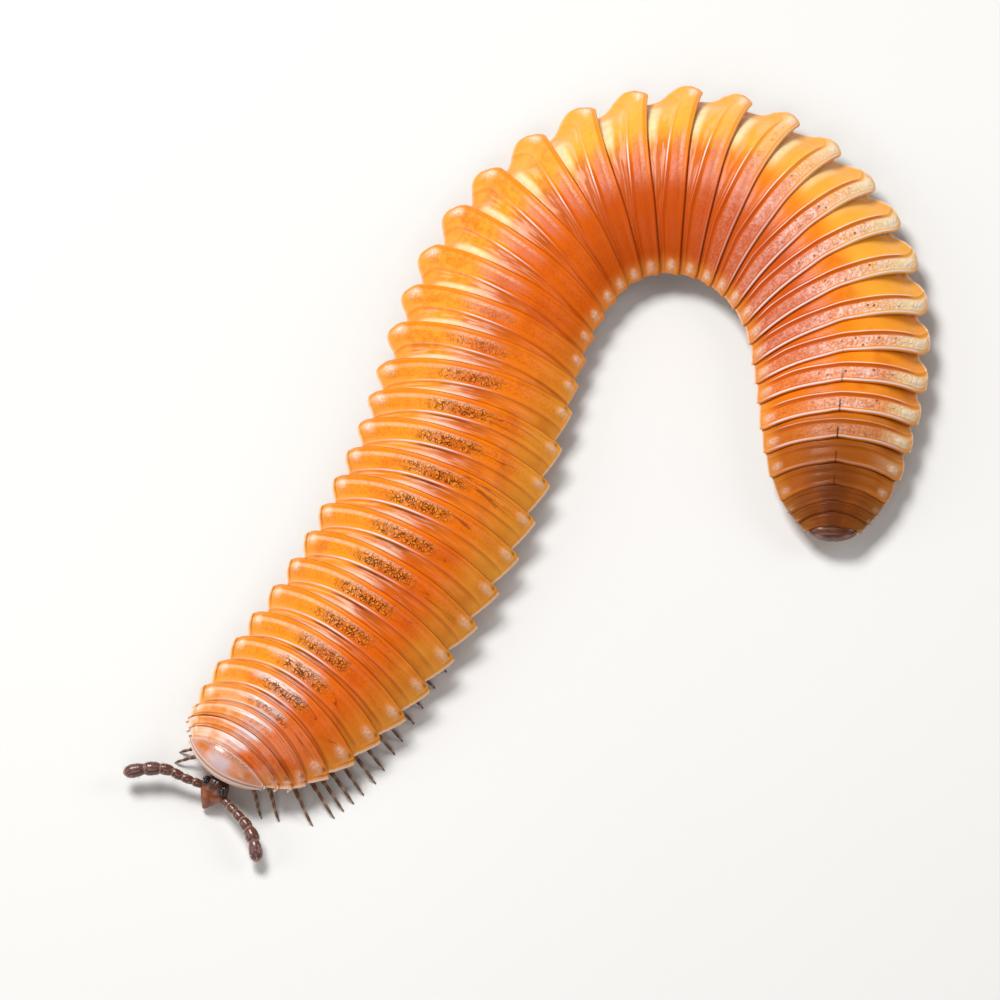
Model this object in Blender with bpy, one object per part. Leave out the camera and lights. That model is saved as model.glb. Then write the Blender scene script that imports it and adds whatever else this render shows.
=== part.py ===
# Octoglena millipede, a still, life-size model, 18 mm along the bent body.
# Sizes are in millimetres and are turned into metres where a mesh is made. +Z is up.
# The body lies in one flat bend: the head at the front left, the tail at the front right.
import bpy
import bmesh
import math
import random
import numpy as np
from mathutils import Matrix, Vector

MM = 0.001

# Course of the body: distance behind the collum, heading of the body there and heading of the ring there
COURSE = (
    (0.0, 40, 53), (1.0, 47, 51), (2.6, 56, 54), (4.6, 66, 65), (6.6, 77, 76), (7.8, 70, 66), (9.0, 52, 47),
    (10.4, 20, 13), (11.8, -22, -16), (13.2, -56, -46), (14.4, -81, -67), (15.6, -95, -86), (16.8, -94, -92),
    (18.0, -88, -91),
)
COURSE_START = (-4.031, -4.368)
COURSE_STEP = 0.02

# Rings: ring 1 is the collum. Place of the rear rim at its corners, full width, and how far the corners trail
LAST_RING = 42
RIM_PLACES = ((1, 0.0), (2, 0.10), (3, 0.21), (4, 0.37), (5, 0.66), (6, 1.06), (8, 1.96), (15, 5.57),
              (20, 8.07), (26, 11.22), (33, 14.63), (36, 15.97), (38, 16.74), (39, 17.08), (40, 17.27),
              (42, 17.54))
RING_WIDTHS = ((1, 1.24), (2, 1.52), (3, 1.77), (4, 1.94), (5, 2.20), (6, 2.40), (8, 2.62), (13, 2.78),
               (17, 2.73), (19, 2.68), (23, 2.67), (26, 2.86), (28, 2.83), (31, 2.67), (33, 2.55), (35, 2.32),
               (37, 2.0), (38, 1.78), (39, 1.46), (40, 1.20), (41, 0.97), (42, 0.74))
CORNER_TRAIL = ((1, -0.03), (2, -0.14), (3, -0.19), (4, -0.26), (5, -0.20), (6, -0.16), (7, -0.10), (9, 0.0),
                (37, 0.0), (39, 0.08), (41, 0.06), (42, 0.0))
CORNER_ROUND = ((1, 0.0), (4, 0.02), (7, 0.05), (27, 0.05), (30, 0.10), (34, 0.10), (36, 0.05), (40, 0.02),
                (42, 0.0))

# How far the rear corner of a plate is cut back, and how far in that reaches, on each side of the bend
OUTER_CUT = ((1, 0.0), (2, 0.04), (4, 0.05), (8, 0.06), (16, 0.06), (20, 0.12), (24, 0.16), (27, 0.12),
             (33, 0.10), (37, 0.07), (42, 0.01))
OUTER_REACH = ((1, 0.06), (2, 0.09), (8, 0.12), (16, 0.12), (22, 0.28), (27, 0.20), (33, 0.18), (37, 0.13),
               (42, 0.06))
INNER_CUT = ((1, 0.0), (2, 0.035), (6, 0.04), (10, 0.025), (20, 0.03), (32, 0.05), (39, 0.05), (42, 0.005))
INNER_REACH = ((1, 0.05), (2, 0.08), (8, 0.10), (37, 0.12), (42, 0.05))
DOME_SHARE = 0.26
DOME_POWERS = (2.3, 0.95)
CORNER_HEIGHTS = ((1, 0.42), (5, 0.39), (35, 0.38), (42, 0.32))
BELLY_HEIGHT = 0.24
BELLY_UNDER_MARGIN = 0.02
FLANK_RISE = 0.04
MARGIN_THICK = 0.08
NODE_GAP = 0.03

# One ring from front to rear: smooth front band, raised ridge, plate, and the proud rear rim
PLATE_LENGTH = 0.31
FRONT_BAND_SHARE = (0.12, 0.55)
BAND_SINK = 0.055
RIDGE_WIDTH = 0.06
RIDGE_SHARE = 0.2
RIDGE_SINK = 0.004
RIM_LENGTH = 0.08
RIM_SHARE = 0.3
PLATE_SINK = 0.014
OUTER_NOTCH = ((1, 0.04), (4, 0.10), (8, 0.33), (16, 0.35), (24, 0.33), (28, 0.29), (34, 0.30), (38, 0.20),
               (42, 0.04))
INNER_NOTCH = ((1, 0.03), (4, 0.10), (6, 0.22), (10, 0.27), (16, 0.25), (24, 0.14), (30, 0.08), (35, 0.10),
               (39, 0.08), (42, 0.03))
NOTCH_LIMITS = (0.01, 0.26)
BOSS_RISE = 0.03
BOSS_COLUMN = 0.88
BACK_COLUMNS = (1.0, 0.88, 0.66, 0.34, 0.0)
SIDE_COLUMN = 0.97
UNDER_COLUMN = 0.64
LEG_COLUMNS = (0.25, 0.10)
LEG_COLUMN_SHARES = (0.30, 0.12)

# Five stations along a ring: sink under the full plate, share of the notch, rise of the corner boss
STATION_SINKS = (BAND_SINK, BAND_SINK, RIDGE_SINK, PLATE_SINK, 0.0)
STATION_NOTCHES = (1.0, 0.70, 0.42, 0.03, 0.0)
STATION_BOSSES = (0.0, 0.0, 0.6, 1.0, 0.0)
LAST_STATION = len(STATION_SINKS) - 1

# The same stations on the belly, where the gaps between them are the roots of the legs
UNDER_STATIONS = (0.0, 0.14, 0.42, 0.62, 0.90)
UNDER_STATIONS_SINGLE = (0.0, 0.2, 0.8, 0.9, 0.96)

# Legs: one pair on rings 2 to 4 and on the last ring that has legs, two pairs on each ring between
FIRST_LEG_RING = 2
LAST_LEG_RING = 38
SINGLE_PAIR_RINGS = (2, 3, 4, 38)
FRONT_REACH = ((2, 0.72), (3, 0.90), (4, 1.27), (5, 1.41), (6, 1.46), (7, 1.48), (8, 1.40), (10, 1.25))
FRONT_LEAN = ((2, -0.42), (3, -0.42), (4, -0.40), (5, -0.38), (6, -0.30), (7, -0.22), (8, -0.12), (11, 0.0))
MAX_REACH = 1.30
REACH_SHARE = 0.80
FAR_SIDE_SHARE = 0.90
LEG_ROOT_OUT = 0.34
LEG_ROOT_SHARE = 0.36
THIN_LEG_WIDTH = 0.85
SQUEEZED_LEG = 0.55
STEP_WAVE = 0.045
STEP_WAVE_PAIRS = 9
STEP_STRAY = 0.008
STEP_SEED = 7
SIDE_PHASE = 0.6
SQUEEZE_STEP = 0.1
ROOT_SEARCH = 0.3
ROOT_SEARCH_STEPS = 60

# Sections of a leg: share of its reach, half spread, low and high edge, half thickness, share of its lean
LEG_ROOT = (0.03, 0.10, 0.20, 0.050, 0.0)
LEG_KNEE = (0.60, 0.01, 0.145, 0.232, 0.042, 0.45)
LEG_SHIN = (0.84, 0.02, 0.085, 0.160, 0.034, 0.8)
FOOT_SHARE = 0.96
FOOT_OVERREACH = 0.02
FOOT_THICK = 0.022

# Collum: a shield whose front margin is a half ellipse, with its underside falling back to the belly
COLLUM_SIDE = 0.04
COLLUM_FRONT = 0.27
COLLUM_BOW_CLIP = 0.98
COLLUM_BOW_POWER = 0.8
COLLUM_MARGIN_RISE = 0.07
COLLUM_MARGIN_THICK = 0.05
COLLUM_MARGIN_ROOM = 0.015
COLLUM_SPREAD = 0.03
COLLUM_UNDER_POWER = 0.7
COLLUM_ROWS = (0.0, 0.3, 0.6, 0.85, 1.0)
COLLUM_UNDER_COLUMNS = (-SIDE_COLUMN, -0.66, -0.34, 0.0, 0.34, 0.66, SIDE_COLUMN)

# Head: tucked under the collum, its narrow mouth end forwards and down. Left and right are the animal's own
HEAD_CENTRE = (0.40, -0.048, 0.222)
HEAD_HALF = (0.27, 0.20, 0.15)
HEAD_PITCH = 32.5
HEAD_NARROW = 0.68
HEAD_FLAT = 0.35
HEAD_FACES = (20, 12)
MOUTH_ANGLE = -18
MOUTH_WIDTH = 9
MOUTH_DEPTH = 0.022
MOUTH_FADE_POWER = 0.5
EYE_PLACE = (-0.10, 0.133, 0.097)
EYE_HALF = (0.075, 0.055, 0.05)
EYE_FACES = (10, 7)
SOCKET_WAY = (0.0, 0.97, 0.2)
SOCKET_DEPTH = 0.03
ANTENNA_ARTICLES = ((0.14, 0.054), (0.14, 0.058), (0.15, 0.064), (0.17, 0.080), (0.20, 0.098), (0.29, 0.098))
ARTICLE_JOINT = 0.74
ARTICLE_BELLY = ((0.3, 0.97), (0.7, 1.0))
CLUB_END = ((0.86, 0.86), (0.965, 0.55), (1.0, 0.22))
ANTENNA_LEFT = ((0, 0, 0), (0.153, -0.193, 0.023), (0.31, -0.395, 0.033), (0.41, -0.60, 0.023),
                (0.47, -0.921, -0.047))
ANTENNA_RIGHT = ((0, 0, 0), (-0.25, 0.085, 0.05), (-0.489, 0.191, 0.083), (-0.786, 0.203, 0.073),
                 (-1.077, 0.157, 0.043))
ROUTE_STEPS = 60
FIT_GAP = 0.02

# Telson: a small blunt end behind the last ring
TELSON_HALF = (0.12, 0.30, 0.14)
TELSON_HEIGHT = 0.335
TELSON_BLUNT = 0.8
TELSON_NARROW = 0.42
TELSON_FACES = (14, 8)

MERGE_DISTANCE = 0.0003
SHARP_ANGLE = 35

TRUNK_LENGTHS = ((2, 8), (9, 13), (14, 18), (19, 23), (24, 28), (29, 33), (34, 37), (38, 42))

COLOURS = {
    "collum": (0.86, 0.62, 0.48, 0.35),
    "trunk": (0.86, 0.36, 0.05, 0.35),
    "telson": (0.50, 0.20, 0.05, 0.40),
    "head": (0.42, 0.16, 0.05, 0.40),
    "antenna": (0.20, 0.08, 0.07, 0.30),
    "eye": (0.01, 0.01, 0.01, 0.15),
}


def clear_scene():
    for item in list(bpy.data.objects):
        bpy.data.objects.remove(item, do_unlink=True)


def make_material(name):
    r, g, b, roughness = COLOURS[name]
    material = bpy.data.materials.new(name)
    material.use_nodes = True
    shader = material.node_tree.nodes["Principled BSDF"]
    shader.inputs["Base Color"].default_value = (r, g, b, 1.0)
    shader.inputs["Roughness"].default_value = roughness
    shader.inputs["Metallic"].default_value = 0.0
    return material


def read_row(rows, where):
    """Value at a place between the rows of a short table."""
    return float(np.interp(where, [row[0] for row in rows], [row[1] for row in rows]))


class Course:
    """The middle line of the body: a chain of arcs, with the heading of the rings along it."""

    def __init__(self):
        knots = [row[0] for row in COURSE]
        self.s = np.arange(0.0, COURSE[-1][0] + COURSE_STEP, COURSE_STEP)
        headings = np.radians(np.interp(self.s, knots, [row[1] for row in COURSE]))
        east = np.cos(headings)
        north = np.sin(headings)
        self.x = COURSE_START[0] + np.r_[0, np.cumsum((east[1:] + east[:-1]) / 2 * COURSE_STEP)]
        self.y = COURSE_START[1] + np.r_[0, np.cumsum((north[1:] + north[:-1]) / 2 * COURSE_STEP)]
        self.ring_heading = np.radians(np.interp(self.s, knots, [row[2] for row in COURSE]))

    def centre(self, s):
        if s < 0:
            heading = math.radians(COURSE[0][2])
            return self.x[0] + s * math.cos(heading), self.y[0] + s * math.sin(heading)
        return float(np.interp(s, self.s, self.x)), float(np.interp(s, self.s, self.y))

    def heading(self, s):
        return float(np.interp(s, self.s, self.ring_heading))

    def point(self, s, side, z, ahead=0.0):
        """A point beside the course: side is to the body's left, seen along its heading."""
        x, y = self.centre(s)
        turn = self.heading(s)
        east = x - side * math.sin(turn) + ahead * math.cos(turn)
        north = y + side * math.cos(turn) + ahead * math.sin(turn)
        return Vector((east, north, z))


def rim_place(ring, column):
    """Distance of a ring's rear rim along the course, at a column from -1 to 1 across the back."""
    rows = (OUTER_CUT, OUTER_REACH) if column > 0 else (INNER_CUT, INNER_REACH)
    back, reach = [read_row(row, ring) for row in rows]
    inset = (1.0 - abs(column)) * read_row(RING_WIDTHS, ring) / 2
    corner = back * (1.0 - max(1.0 - inset / reach, 0.0) ** 2)
    bow = read_row(CORNER_ROUND, ring) - back - read_row(CORNER_TRAIL, ring)
    return read_row(RIM_PLACES, ring) + bow * (1.0 - column * column) + corner


def dome_height(column, half_width, corner_height):
    fall = (1.0 - abs(column) ** DOME_POWERS[0]) ** DOME_POWERS[1]
    return corner_height + 2 * half_width * DOME_SHARE * fall


def back_columns():
    rising = list(BACK_COLUMNS)
    return rising + [-value for value in reversed(rising[:-1])]


def local_pitch(course, ring, column, half_width):
    front = course.point(rim_place(ring - 1, column), column * half_width, 0)
    rear = course.point(rim_place(ring, column), column * half_width, 0)
    return (rear - front).length


def ring_stations(pitch):
    """Shares of the pitch where the front band ends, the ridge stands and the rear rim starts."""
    low, high = FRONT_BAND_SHARE
    band = min(max(1.0 - PLATE_LENGTH / pitch, low), high)
    rest = 1.0 - band
    ridge = band + min(RIDGE_WIDTH / pitch, RIDGE_SHARE * rest)
    rim = 1.0 - min(RIM_LENGTH / pitch, RIM_SHARE * rest)
    return (0.0, band, ridge, rim, 1.0)


def notch_depth(ring, side, pitch):
    share = read_row(OUTER_NOTCH if side > 0 else INNER_NOTCH, ring)
    return min(max(share * pitch, NOTCH_LIMITS[0]), NOTCH_LIMITS[1])


def ring_section(course, ring, station, first, last):
    """One cross-section of a ring, as a closed loop: over the back from side to side, then back beneath."""
    full = read_row(RING_WIDTHS, ring) / 2
    share = ring_stations(local_pitch(course, ring, 0, full))[station]
    half = read_row(RING_WIDTHS, ring - 1 + share) / 2
    corner = read_row(CORNER_HEIGHTS, ring)
    trim = 0.0
    if first and station == 0:
        trim = NODE_GAP / 2
    if last and station == LAST_STATION:
        trim = -NODE_GAP / 2
    sink = STATION_SINKS[station] * min(1.0, half)
    loop = []
    for column in back_columns():
        pitch = local_pitch(course, ring, column, half)
        width = half - notch_depth(ring, column, pitch) * STATION_NOTCHES[station]
        front = rim_place(ring - 1, column)
        s = front + ring_stations(pitch)[station] * (rim_place(ring, column) - front) + trim
        z = dome_height(column, half, corner)
        if abs(column) < 1:
            z -= sink
        if abs(column) == BOSS_COLUMN:
            z += BOSS_RISE * STATION_BOSSES[station] * min(1.0, half)
        loop.append(course.point(s, column * width, z))
    unders = UNDER_STATIONS_SINGLE if ring in SINGLE_PAIR_RINGS else UNDER_STATIONS
    under = 1.0 if last and station == LAST_STATION else unders[station]
    belly = min(BELLY_HEIGHT, corner - MARGIN_THICK - BELLY_UNDER_MARGIN)
    pitch = local_pitch(course, ring, 0, half)
    outer_leg = min(LEG_COLUMNS[0], LEG_COLUMN_SHARES[0] * half)
    inner_leg = min(LEG_COLUMNS[1], LEG_COLUMN_SHARES[1] * half)
    inland = ((UNDER_COLUMN * half, belly + FLANK_RISE), (outer_leg, belly), (inner_leg, belly))
    left, right = [SIDE_COLUMN * (half - notch_depth(ring, side, pitch) * (1.0 - under)) for side in (1, -1)]
    beneath = [(-right, corner - MARGIN_THICK)] + [(-side, z) for side, z in inland]
    beneath += list(reversed(inland)) + [(left, corner - MARGIN_THICK)]
    for side, z in beneath:
        column = side / half
        front = rim_place(ring - 1, column)
        s = front + under * (rim_place(ring, column) - front) + trim
        loop.append(course.point(s, side, z))
    return loop


def add_loop(mesh, loop):
    return [mesh.verts.new(point * MM) for point in loop]


def bridge(mesh, low, high):
    faces = []
    count = len(low)
    for index in range(count):
        after = (index + 1) % count
        faces.append(mesh.faces.new((low[index], low[after], high[after], high[index])))
    return faces


def close_end(mesh, loop, over_count):
    """Close an end with narrow triangles between the back line and the belly line."""
    over = loop[:over_count]
    under = list(reversed(loop[over_count:]))
    i = 0
    j = 0
    while i < len(over) - 1 or j < len(under) - 1:
        over_share = (i + 1) / len(over) if i < len(over) - 1 else 2.0
        under_share = (j + 1) / len(under) if j < len(under) - 1 else 2.0
        if over_share <= under_share:
            mesh.faces.new((over[i], over[i + 1], under[j]))
            i += 1
        else:
            mesh.faces.new((over[i], under[j + 1], under[j]))
            j += 1


def leg_sections(course, ring, s_root, side, pair, wave):
    """The sections of one leg, from below the belly out to the flat foot."""
    half = read_row(RING_WIDTHS, ring) / 2
    reach = min(MAX_REACH, REACH_SHARE * half)
    if ring <= FRONT_REACH[-1][0]:
        reach = read_row(FRONT_REACH, ring + pair * 0.5)
        if side > 0:
            reach = min(reach, max(FAR_SIDE_SHARE * half, FRONT_REACH[0][1]))
    lean = read_row(FRONT_LEAN, ring + pair * 0.5) + wave
    ahead_of = course.point(s_root + SQUEEZE_STEP, side * reach, 0)
    behind = course.point(s_root - SQUEEZE_STEP, side * reach, 0)
    squeeze = min(1.0, (ahead_of - behind).length / (2 * SQUEEZE_STEP))
    scale = min(1.0, half + 1.0 - THIN_LEG_WIDTH) * (SQUEEZED_LEG + (1.0 - SQUEEZED_LEG) * squeeze)
    out = min(LEG_ROOT_OUT, LEG_ROOT_SHARE * half)
    spread, low, high, thick, share = LEG_ROOT
    rows = [(out - spread, low, out + spread, high, thick, share)]
    for place, spread, low, high, thick, share in (LEG_KNEE, LEG_SHIN):
        rows.append((place * reach - spread, low, place * reach + spread, high, thick, share))
    rows.append((FOOT_SHARE * reach, 0.0, reach + FOOT_OVERREACH, 0.0, FOOT_THICK, 1.0))
    sections = []
    for inner, low, outer, high, thick, share in rows:
        middle = lean * squeeze * share
        edge = thick * scale
        near = course.point(s_root, side * inner, low, middle - edge)
        far = course.point(s_root, side * inner, low, middle + edge)
        near_out = course.point(s_root, side * outer, high, middle - edge)
        far_out = course.point(s_root, side * outer, high, middle + edge)
        sections.append((near, far, far_out, near_out))
    return sections


def grow_leg(mesh, front, rear, course, ring, side, pair, wave):
    """Grow a leg out of one belly face, between two sections of its ring."""
    over_count = len(back_columns())
    inner_index, outer_index = (over_count + 3, over_count + 2)
    if side > 0:
        inner_index, outer_index = (over_count + 4, over_count + 5)
    root = (front[inner_index], rear[inner_index], rear[outer_index], front[outer_index])
    face = mesh.faces.get(root)
    middle = sum((vert.co for vert in root), Vector()) / 4 / MM
    s_root = nearest_place(course, middle, ring, side * (LEG_COLUMNS[0] + LEG_COLUMNS[1]) / 2)
    mesh.faces.remove(face)
    below = list(root)
    for section in leg_sections(course, ring, s_root, side, pair, wave):
        here = add_loop(mesh, section)
        bridge(mesh, below, here)
        below = here
    mesh.faces.new(below)


def nearest_place(course, point, ring, side):
    low = rim_place(ring - 1, 0) - ROOT_SEARCH
    places = np.linspace(low, rim_place(ring, 0) + ROOT_SEARCH, ROOT_SEARCH_STEPS)
    gaps = [(course.point(place, side, point.z) - point).length for place in places]
    return float(places[int(np.argmin(gaps))])


def finish(name, mesh, material):
    bmesh.ops.triangulate(mesh, faces=mesh.faces[:], quad_method="SHORT_EDGE")
    bmesh.ops.recalc_face_normals(mesh, faces=mesh.faces[:])
    data = bpy.data.meshes.new(name)
    mesh.to_mesh(data)
    mesh.free()
    data.materials.append(material)
    data.shade_smooth()
    data.set_sharp_from_angle(angle=math.radians(SHARP_ANGLE))
    item = bpy.data.objects.new(name, data)
    parts.objects.link(item)
    return item


def make_trunk(name, course, first_ring, last_ring, material):
    """A length of the trunk: its rings as raised plates, with the legs grown from the belly."""
    mesh = bmesh.new()
    over_count = len(back_columns())
    sections = []
    legs = []
    for ring in range(first_ring, last_ring + 1):
        for station in range(LAST_STATION + 1):
            loop = ring_section(course, ring, station, ring == first_ring, ring == last_ring)
            sections.append(add_loop(mesh, loop))
        start = len(sections) - 1 - LAST_STATION
        if FIRST_LEG_RING <= ring <= LAST_LEG_RING:
            legs.append((ring, start + 1, 0))
            if ring not in SINGLE_PAIR_RINGS:
                legs.append((ring, start + 3, 1))
    for low, high in zip(sections, sections[1:]):
        bridge(mesh, low, high)
    close_end(mesh, sections[0], over_count)
    close_end(mesh, sections[-1], over_count)
    for ring, index, pair in legs:
        number = 2 * ring + pair
        for side in (1, -1):
            phase = 2 * math.pi * number / STEP_WAVE_PAIRS + (SIDE_PHASE if side > 0 else 0.0)
            wave = STEP_WAVE * math.sin(phase) + stray.uniform(-STEP_STRAY, STEP_STRAY)
            grow_leg(mesh, sections[index], sections[index + 1], course, ring, side, pair, wave)
    return finish(name, mesh, material)


def make_collum(course, material):
    """The shield over the head: its top and its underside meet at a thin front margin."""
    mesh = bmesh.new()
    half = read_row(RING_WIDTHS, 1) / 2
    corner = read_row(CORNER_HEIGHTS, 1)
    columns = back_columns()
    sections = []
    for row in COLLUM_ROWS:
        loop = []
        for column in columns:
            rear = rim_place(1, column) - NODE_GAP / 2
            bow = (1 - column * column * COLLUM_BOW_CLIP) ** COLLUM_BOW_POWER
            front = -COLLUM_SIDE - COLLUM_FRONT * bow
            margin = corner + COLLUM_MARGIN_RISE * bow
            top = dome_height(column, half, corner)
            z = margin + (top - margin) * math.sqrt(1 - row * row)
            spread = 1.0 + COLLUM_SPREAD * math.sin(math.pi * row)
            loop.append(course.point(rear + row * (front - rear), column * half * spread, z))
        for column in COLLUM_UNDER_COLUMNS:
            rear = rim_place(1, column) - NODE_GAP / 2
            bow = (1 - column * column * COLLUM_BOW_CLIP) ** COLLUM_BOW_POWER
            front = -COLLUM_SIDE - COLLUM_FRONT * bow + COLLUM_MARGIN_ROOM
            margin = corner + COLLUM_MARGIN_RISE * bow - COLLUM_MARGIN_THICK
            base = corner - MARGIN_THICK if abs(column) == SIDE_COLUMN else BELLY_HEIGHT
            z = base + (margin - base) * row ** COLLUM_UNDER_POWER
            loop.append(course.point(rear + row * (front - rear), column * half, z))
        sections.append(add_loop(mesh, loop))
    for low, high in zip(sections, sections[1:]):
        bridge(mesh, low, high)
    close_end(mesh, sections[0], len(columns))
    close_end(mesh, sections[-1], len(columns))
    return finish("collum", mesh, material)


def head_frame(course):
    """Place of the head: forwards is its own X and left its own Y, pitched down from the collum's heading."""
    forwards, side, z = HEAD_CENTRE
    place = course.point(-forwards, side, z)
    heading = course.heading(0) + math.pi
    turn = Matrix.Rotation(heading, 4, "Z") @ Matrix.Rotation(math.radians(HEAD_PITCH), 4, "Y")
    return Matrix.Translation(place * MM) @ turn


def head_shape(direction, grow):
    """A point of the head's surface in its own frame: a round back, and a snout with a line for the mouth."""
    ahead = max(direction.x, 0.0)
    angle = math.degrees(math.atan2(direction.z, abs(direction.y)))
    in_mouth = grow == 0.0 and abs(angle - MOUTH_ANGLE) < MOUTH_WIDTH
    mouth = MOUTH_DEPTH * ahead ** MOUTH_FADE_POWER if in_mouth else 0.0
    narrow = 1.0 - HEAD_NARROW * ahead
    flat = 1.0 - HEAD_FLAT * ahead
    point = Vector((direction.x * HEAD_HALF[0], direction.y * HEAD_HALF[1] * narrow,
                    direction.z * HEAD_HALF[2] * flat))
    return (point + direction * (grow - mouth)) * MM


def make_ball(name, shape, frame, material, faces):
    """A closed body from a sphere whose points are moved by a shape function, with its poles fore and aft."""
    mesh = bmesh.new()
    bmesh.ops.create_uvsphere(mesh, u_segments=faces[0], v_segments=faces[1], radius=1.0)
    turn = Matrix.Rotation(math.pi / 2, 4, "Y")
    for vert in mesh.verts:
        vert.co = frame @ shape((turn @ vert.co).normalized())
    return finish(name, mesh, material)


def eye_frame(course, side):
    along, across, up = EYE_PLACE
    return head_frame(course) @ Matrix.Translation(Vector((along, side * across, up)) * MM)


def eye_shape(direction, grow):
    return Vector([direction[axis] * (EYE_HALF[axis] + grow) * MM for axis in range(3)])


def cut(item, cutter):
    """Take a cutter out of an item and apply it."""
    cutter.display_type = "WIRE"
    cutter.hide_render = True
    for holder in cutter.users_collection:
        holder.objects.unlink(cutter)
    cutters.objects.link(cutter)
    step = item.modifiers.new("cut", "BOOLEAN")
    step.operation = "DIFFERENCE"
    step.solver = "EXACT"
    step.object = cutter
    apply_modifiers(item)


def apply_modifiers(item):
    graph = bpy.context.evaluated_depsgraph_get()
    data = bpy.data.meshes.new_from_object(item.evaluated_get(graph))
    item.modifiers.clear()
    item.data = data
    keep_largest(item)


def keep_largest(item):
    """Keep only the largest closed surface of an item."""
    mesh = bmesh.new()
    mesh.from_mesh(item.data)
    bmesh.ops.remove_doubles(mesh, verts=mesh.verts[:], dist=MERGE_DISTANCE * MM)
    left = set(mesh.verts)
    groups = []
    while left:
        group = [left.pop()]
        for vert in group:
            for edge in vert.link_edges:
                other = edge.other_vert(vert)
                if other in left:
                    left.remove(other)
                    group.append(other)
        groups.append(group)
    groups.sort(key=len)
    for group in groups[:-1]:
        bmesh.ops.delete(mesh, geom=group, context="VERTS")
    bmesh.ops.triangulate(mesh, faces=mesh.faces[:])
    mesh.to_mesh(item.data)
    mesh.free()


def smooth_through(points, count):
    """Points on a smooth curve through a few given ones."""
    given = np.array(points, dtype=float)
    steps = np.r_[0, np.cumsum(np.linalg.norm(np.diff(given, axis=0), axis=1))]
    slopes = np.gradient(given, steps, axis=0)
    result = []
    for place in np.linspace(0, steps[-1], count):
        i = min(int(np.searchsorted(steps, place, side="right")) - 1, len(steps) - 2)
        span = steps[i + 1] - steps[i]
        u = (place - steps[i]) / span
        result.append((2 * u ** 3 - 3 * u ** 2 + 1) * given[i] + (u ** 3 - 2 * u ** 2 + u) * span * slopes[i]
                      + (3 * u ** 2 - 2 * u ** 3) * given[i + 1] + (u ** 3 - u ** 2) * span * slopes[i + 1])
    return np.array(result)


def antenna_profile():
    """Share of the length and radius at each section: articles that swell between narrow joints."""
    total = sum(length for length, radius in ANTENNA_ARTICLES)
    rows = []
    done = 0.0
    for length, radius in ANTENNA_ARTICLES:
        rows.append((done / total, radius * ARTICLE_JOINT))
        for place, swell in ARTICLE_BELLY:
            rows.append(((done + place * length) / total, radius * swell))
        done += length
    club = ANTENNA_ARTICLES[-1][1]
    rows[-1] = (CLUB_END[0][0], club * CLUB_END[0][1])
    return rows + [(place, club * share) for place, share in CLUB_END[1:]]


def make_antenna(name, base, route, material):
    """A chain of swelling articles on a smooth route, as one tube of changing thickness."""
    fine = smooth_through(route, ROUTE_STEPS)
    shares = np.linspace(0, 1, len(fine))
    rows = antenna_profile()
    curve = bpy.data.curves.new(name, "CURVE")
    curve.dimensions = "3D"
    curve.bevel_depth = MM
    curve.bevel_resolution = 2
    curve.use_fill_caps = True
    line = curve.splines.new("POLY")
    line.points.add(len(rows) - 1)
    for point, (share, radius) in zip(line.points, rows):
        place = Vector([float(np.interp(share, shares, fine[:, axis])) for axis in range(3)])
        point.co = ((base + place) * MM).to_4d()
        point.radius = radius
    item = bpy.data.objects.new(name + "_curve", curve)
    parts.objects.link(item)
    graph = bpy.context.evaluated_depsgraph_get()
    mesh = bmesh.new()
    mesh.from_mesh(bpy.data.meshes.new_from_object(item.evaluated_get(graph)))
    bpy.data.objects.remove(item, do_unlink=True)
    bmesh.ops.remove_doubles(mesh, verts=mesh.verts[:], dist=MERGE_DISTANCE * MM)
    return finish(name, mesh, material)


def make_head(course, materials):
    frame = head_frame(course)
    head = make_ball("head", lambda way: head_shape(way, 0.0), frame, materials["head"], HEAD_FACES)
    room = make_ball("head_room", lambda way: head_shape(way, FIT_GAP), frame, materials["head"], HEAD_FACES)
    cut(bpy.data.objects["collum"], room)
    routes = {"left": ANTENNA_LEFT, "right": ANTENNA_RIGHT}
    for name, side in (("left", 1), ("right", -1)):
        spot = eye_frame(course, side)
        black = materials["eye"]
        make_ball("eye_" + name, lambda way: eye_shape(way, 0.0), spot, black, EYE_FACES)
        socket = make_ball("eye_room_" + name, lambda way: eye_shape(way, FIT_GAP), spot, black, EYE_FACES)
        cut(head, socket)
        along, across, up = SOCKET_WAY
        base = frame @ head_shape(Vector((along, side * across, up)).normalized(), -SOCKET_DEPTH) / MM
        antenna = make_antenna("antenna_" + name, base, routes[name], materials["antenna"])
        cut(antenna, room)
    return head


def make_telson(course, material):
    """The blunt end, as the rear half of a flattened ball."""
    place = rim_place(LAST_RING, 0) + NODE_GAP / 2
    turn = Matrix.Rotation(course.heading(place), 4, "Z")
    frame = Matrix.Translation(course.point(place, 0, TELSON_HEIGHT) * MM) @ turn
    mesh = bmesh.new()
    bmesh.ops.create_uvsphere(mesh, u_segments=TELSON_FACES[0], v_segments=TELSON_FACES[1], radius=1.0)
    poles = Matrix.Rotation(math.pi / 2, 4, "Y")
    for vert in mesh.verts:
        way = poles @ vert.co
        blunt = [math.copysign(abs(part) ** TELSON_BLUNT, part) for part in way]
        vert.co = Vector([blunt[axis] * TELSON_HALF[axis] * MM for axis in range(3)])
        vert.co.y *= 1.0 - TELSON_NARROW * max(way.x, 0.0)
    geometry = mesh.verts[:] + mesh.edges[:] + mesh.faces[:]
    front = Vector((NODE_GAP / 2 * MM, 0, 0))
    bmesh.ops.bisect_plane(mesh, geom=geometry, plane_co=front, plane_no=(-1, 0, 0), clear_outer=True)
    bmesh.ops.holes_fill(mesh, edges=[edge for edge in mesh.edges if edge.is_boundary])
    mesh.transform(frame)
    return finish("telson", mesh, material)


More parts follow.
